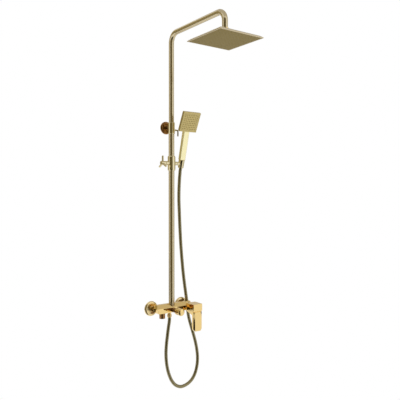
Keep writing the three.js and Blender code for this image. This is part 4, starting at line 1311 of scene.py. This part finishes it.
@dataclass
class Slider:
    """The sleeve on the riser, its clamp and the cup for the hand shower."""

    axis: float = TUBE_LINE
    height: float = CUP_PIVOT[2]

    def build(self) -> None:
        """Makes the sleeve, the clamp and the cup."""
        up = upright(0, self.axis, self.height)
        across = to_the_right(self.axis, self.height)
        sleeve = Shell("slider_sleeve_turned")
        sleeve.turn(
            [(12.7, -31), (14.5, -31), (16.5, -27), (16.5, 27), (14.5, 31), (12.7, 31)], up, 0.9
        )
        sleeve.pipe(4.4, 8.7, -30, -14.5, across, 0.7)
        sleeve.pipe(3.4, 7.8, 14.5, 24, across, 0.6)
        sleeve.piece(PALE_GOLD, "slider", ["slider_sleeve"])
        handle = Shell("clamp_cross")
        hub = [(4.4, -48), (0, -48), (0, -52), (7.7, -52), (8.7, -51), (8.7, -30.6), (4.4, -30.6)]
        handle.turn(hub, across, 0.6)
        for k in range(3):
            spoke = upright(-43, self.axis, self.height) @ Matrix.Rotation(math.radians(120 * k), 4, "X")
            handle.turn([(0, 6), (4.2, 6), (4.2, 28.2), (3.9, 29.8), (2.9, 30.8), (0, 31)], spoke, 0.6, 40)
        handle.piece(PALE_GOLD, "clamp_handle", ["clamp_handle"])
        self.cup()

    def cup(self) -> None:
        """Makes the leaning cup with its slot and pivot shaft."""
        lean = leaning_cup()
        cup = Shell("handset_cup")
        cup.turn([(10.2, -17), (12.2, -17), (13.5, 17), (11.5, 17)], lean, 0.6, 96)
        cup.rod(7.8, -23.6, -12.0, lean @ Matrix.Rotation(math.radians(90), 4, "Y"), 0.6)
        made = cup.piece(PALE_GOLD, "holder", ["handset_holder"])
        bore = Shell("cup_bore").turn([(0, -18), (10.18, -18), (11.56, 18), (0, 18)], lean, 0)
        square = box(7.6, 0, 15.5)
        carve(made, bore)
        carve(made, Shell("cup_slot").prism(square, -19, 19, lean, 0))
        pin = Shell("pin_bore").rod(3.4, -24.6, -16.3, lean @ Matrix.Rotation(math.radians(90), 4, "Y"), 0)
        carve(made, pin)


@dataclass
class Handset:
    """The hand shower: cone nut, flat grip and square head."""

    tilt: float = 11.0
    side: float = 85.0
    thick: float = 12.0
    columns: int = 8
    rows: int = 8

    def build(self) -> None:
        """Makes the cone nut, the body and the nozzle plate."""
        lean = leaning_cup()
        cone: list[Pair] = [(6.5, -17), (9.8, -17), (10.3, -4), (10.0, -3.6)]
        cone += [(10.0, -2.6), (10.5, -2.2), (11.1, 17), (6.5, 17)]
        Shell("hose_cone_nut").turn(cone, lean, 0.35, 96).piece(GOLD, "handset", ["hose_nut_upper"])
        grip = Shell("handset_grip")
        outline = softened(box(13.5, -8, 8), 2.4, True)
        grip.prism(outline, 17.3, 143.3, lean, 0.5, 2)
        grip.rod(6.1, 3, 20, lean, 0.4)
        grip.piece(HANDSET, "handset", flat=True)
        tilted = lean @ Matrix.Translation((0, -8, 139.3)) @ Matrix.Rotation(math.radians(self.tilt), 4, "X")
        half = self.side / 2
        square = box(half, -6, 6)
        head = Shell("handset_head").prism(square, 0, self.side, tilted, 1.6, 4)
        made = head.piece(HANDSET_PLATE, "handset", ["handset_body"], flat=True)
        pocket = half - 7
        recess = box(pocket, -9, -4.2)
        carve(made, Shell("face_pocket").prism(recess, 7, self.side - 7, tilted, 0))
        flat = pocket - 0.4
        face = box(flat, -6, -4.5)
        plate = Shell("handset_plate").prism(face, 7.4, self.side - 7.4, tilted, 0.2, 2)
        plate.piece(HANDSET_PLATE, "handset", ["handset_face"], flat=True)
        tips = Shell("handset_nozzles")
        across = arc(5.5 - flat, flat - 5.5, self.columns - 1)
        for x, z in product(across, arc(12.9, 1.9 + 2 * flat, self.rows - 1)):
            spot = tilted @ Matrix.Translation((x, -6, z)) @ Matrix.Rotation(math.radians(90), 4, "X")
            tips.turn([(0, -0.3), (2.1, -0.3), (1.5, 0.8), (0.7, 0.9), (0, 0.2)], spot, 0.0, 14)
        tips.piece(HANDSET_TIPS, "handset")


# ---------------------------------------------------------------- putting it together


def dress_frame() -> None:
    """Gives each of the frame's own nodes that still shows the finish of its slot."""
    slots = {s["node"]: s["material_slot"] for s in frame["record"]["subparts"]}
    for name, node in frame["nodes"].items():
        finish = FINISHES[Slot(slots[name])]
        node.data.materials.clear()
        node.data.materials.append(finish.material())
        log.info("%s: %s", name, finish.slot.value)


def main() -> None:
    """Builds the shower column piece by piece."""
    studio = Studio()
    studio.camera()
    ShowerHose().build()
    studio.light()
    dress_frame()
    for part in (
        Inlet("left", -1.0), Inlet("right", 1.0), MixerBody(), MixerLever(), Diverter(), Outlets(),
        Riser(), WallBracket(), Arm(), RainHead(), Slider(), Handset(),
    ):
        log.info("building %s", type(part).__name__)
        part.build()


if __name__ == "__main__":
    main()
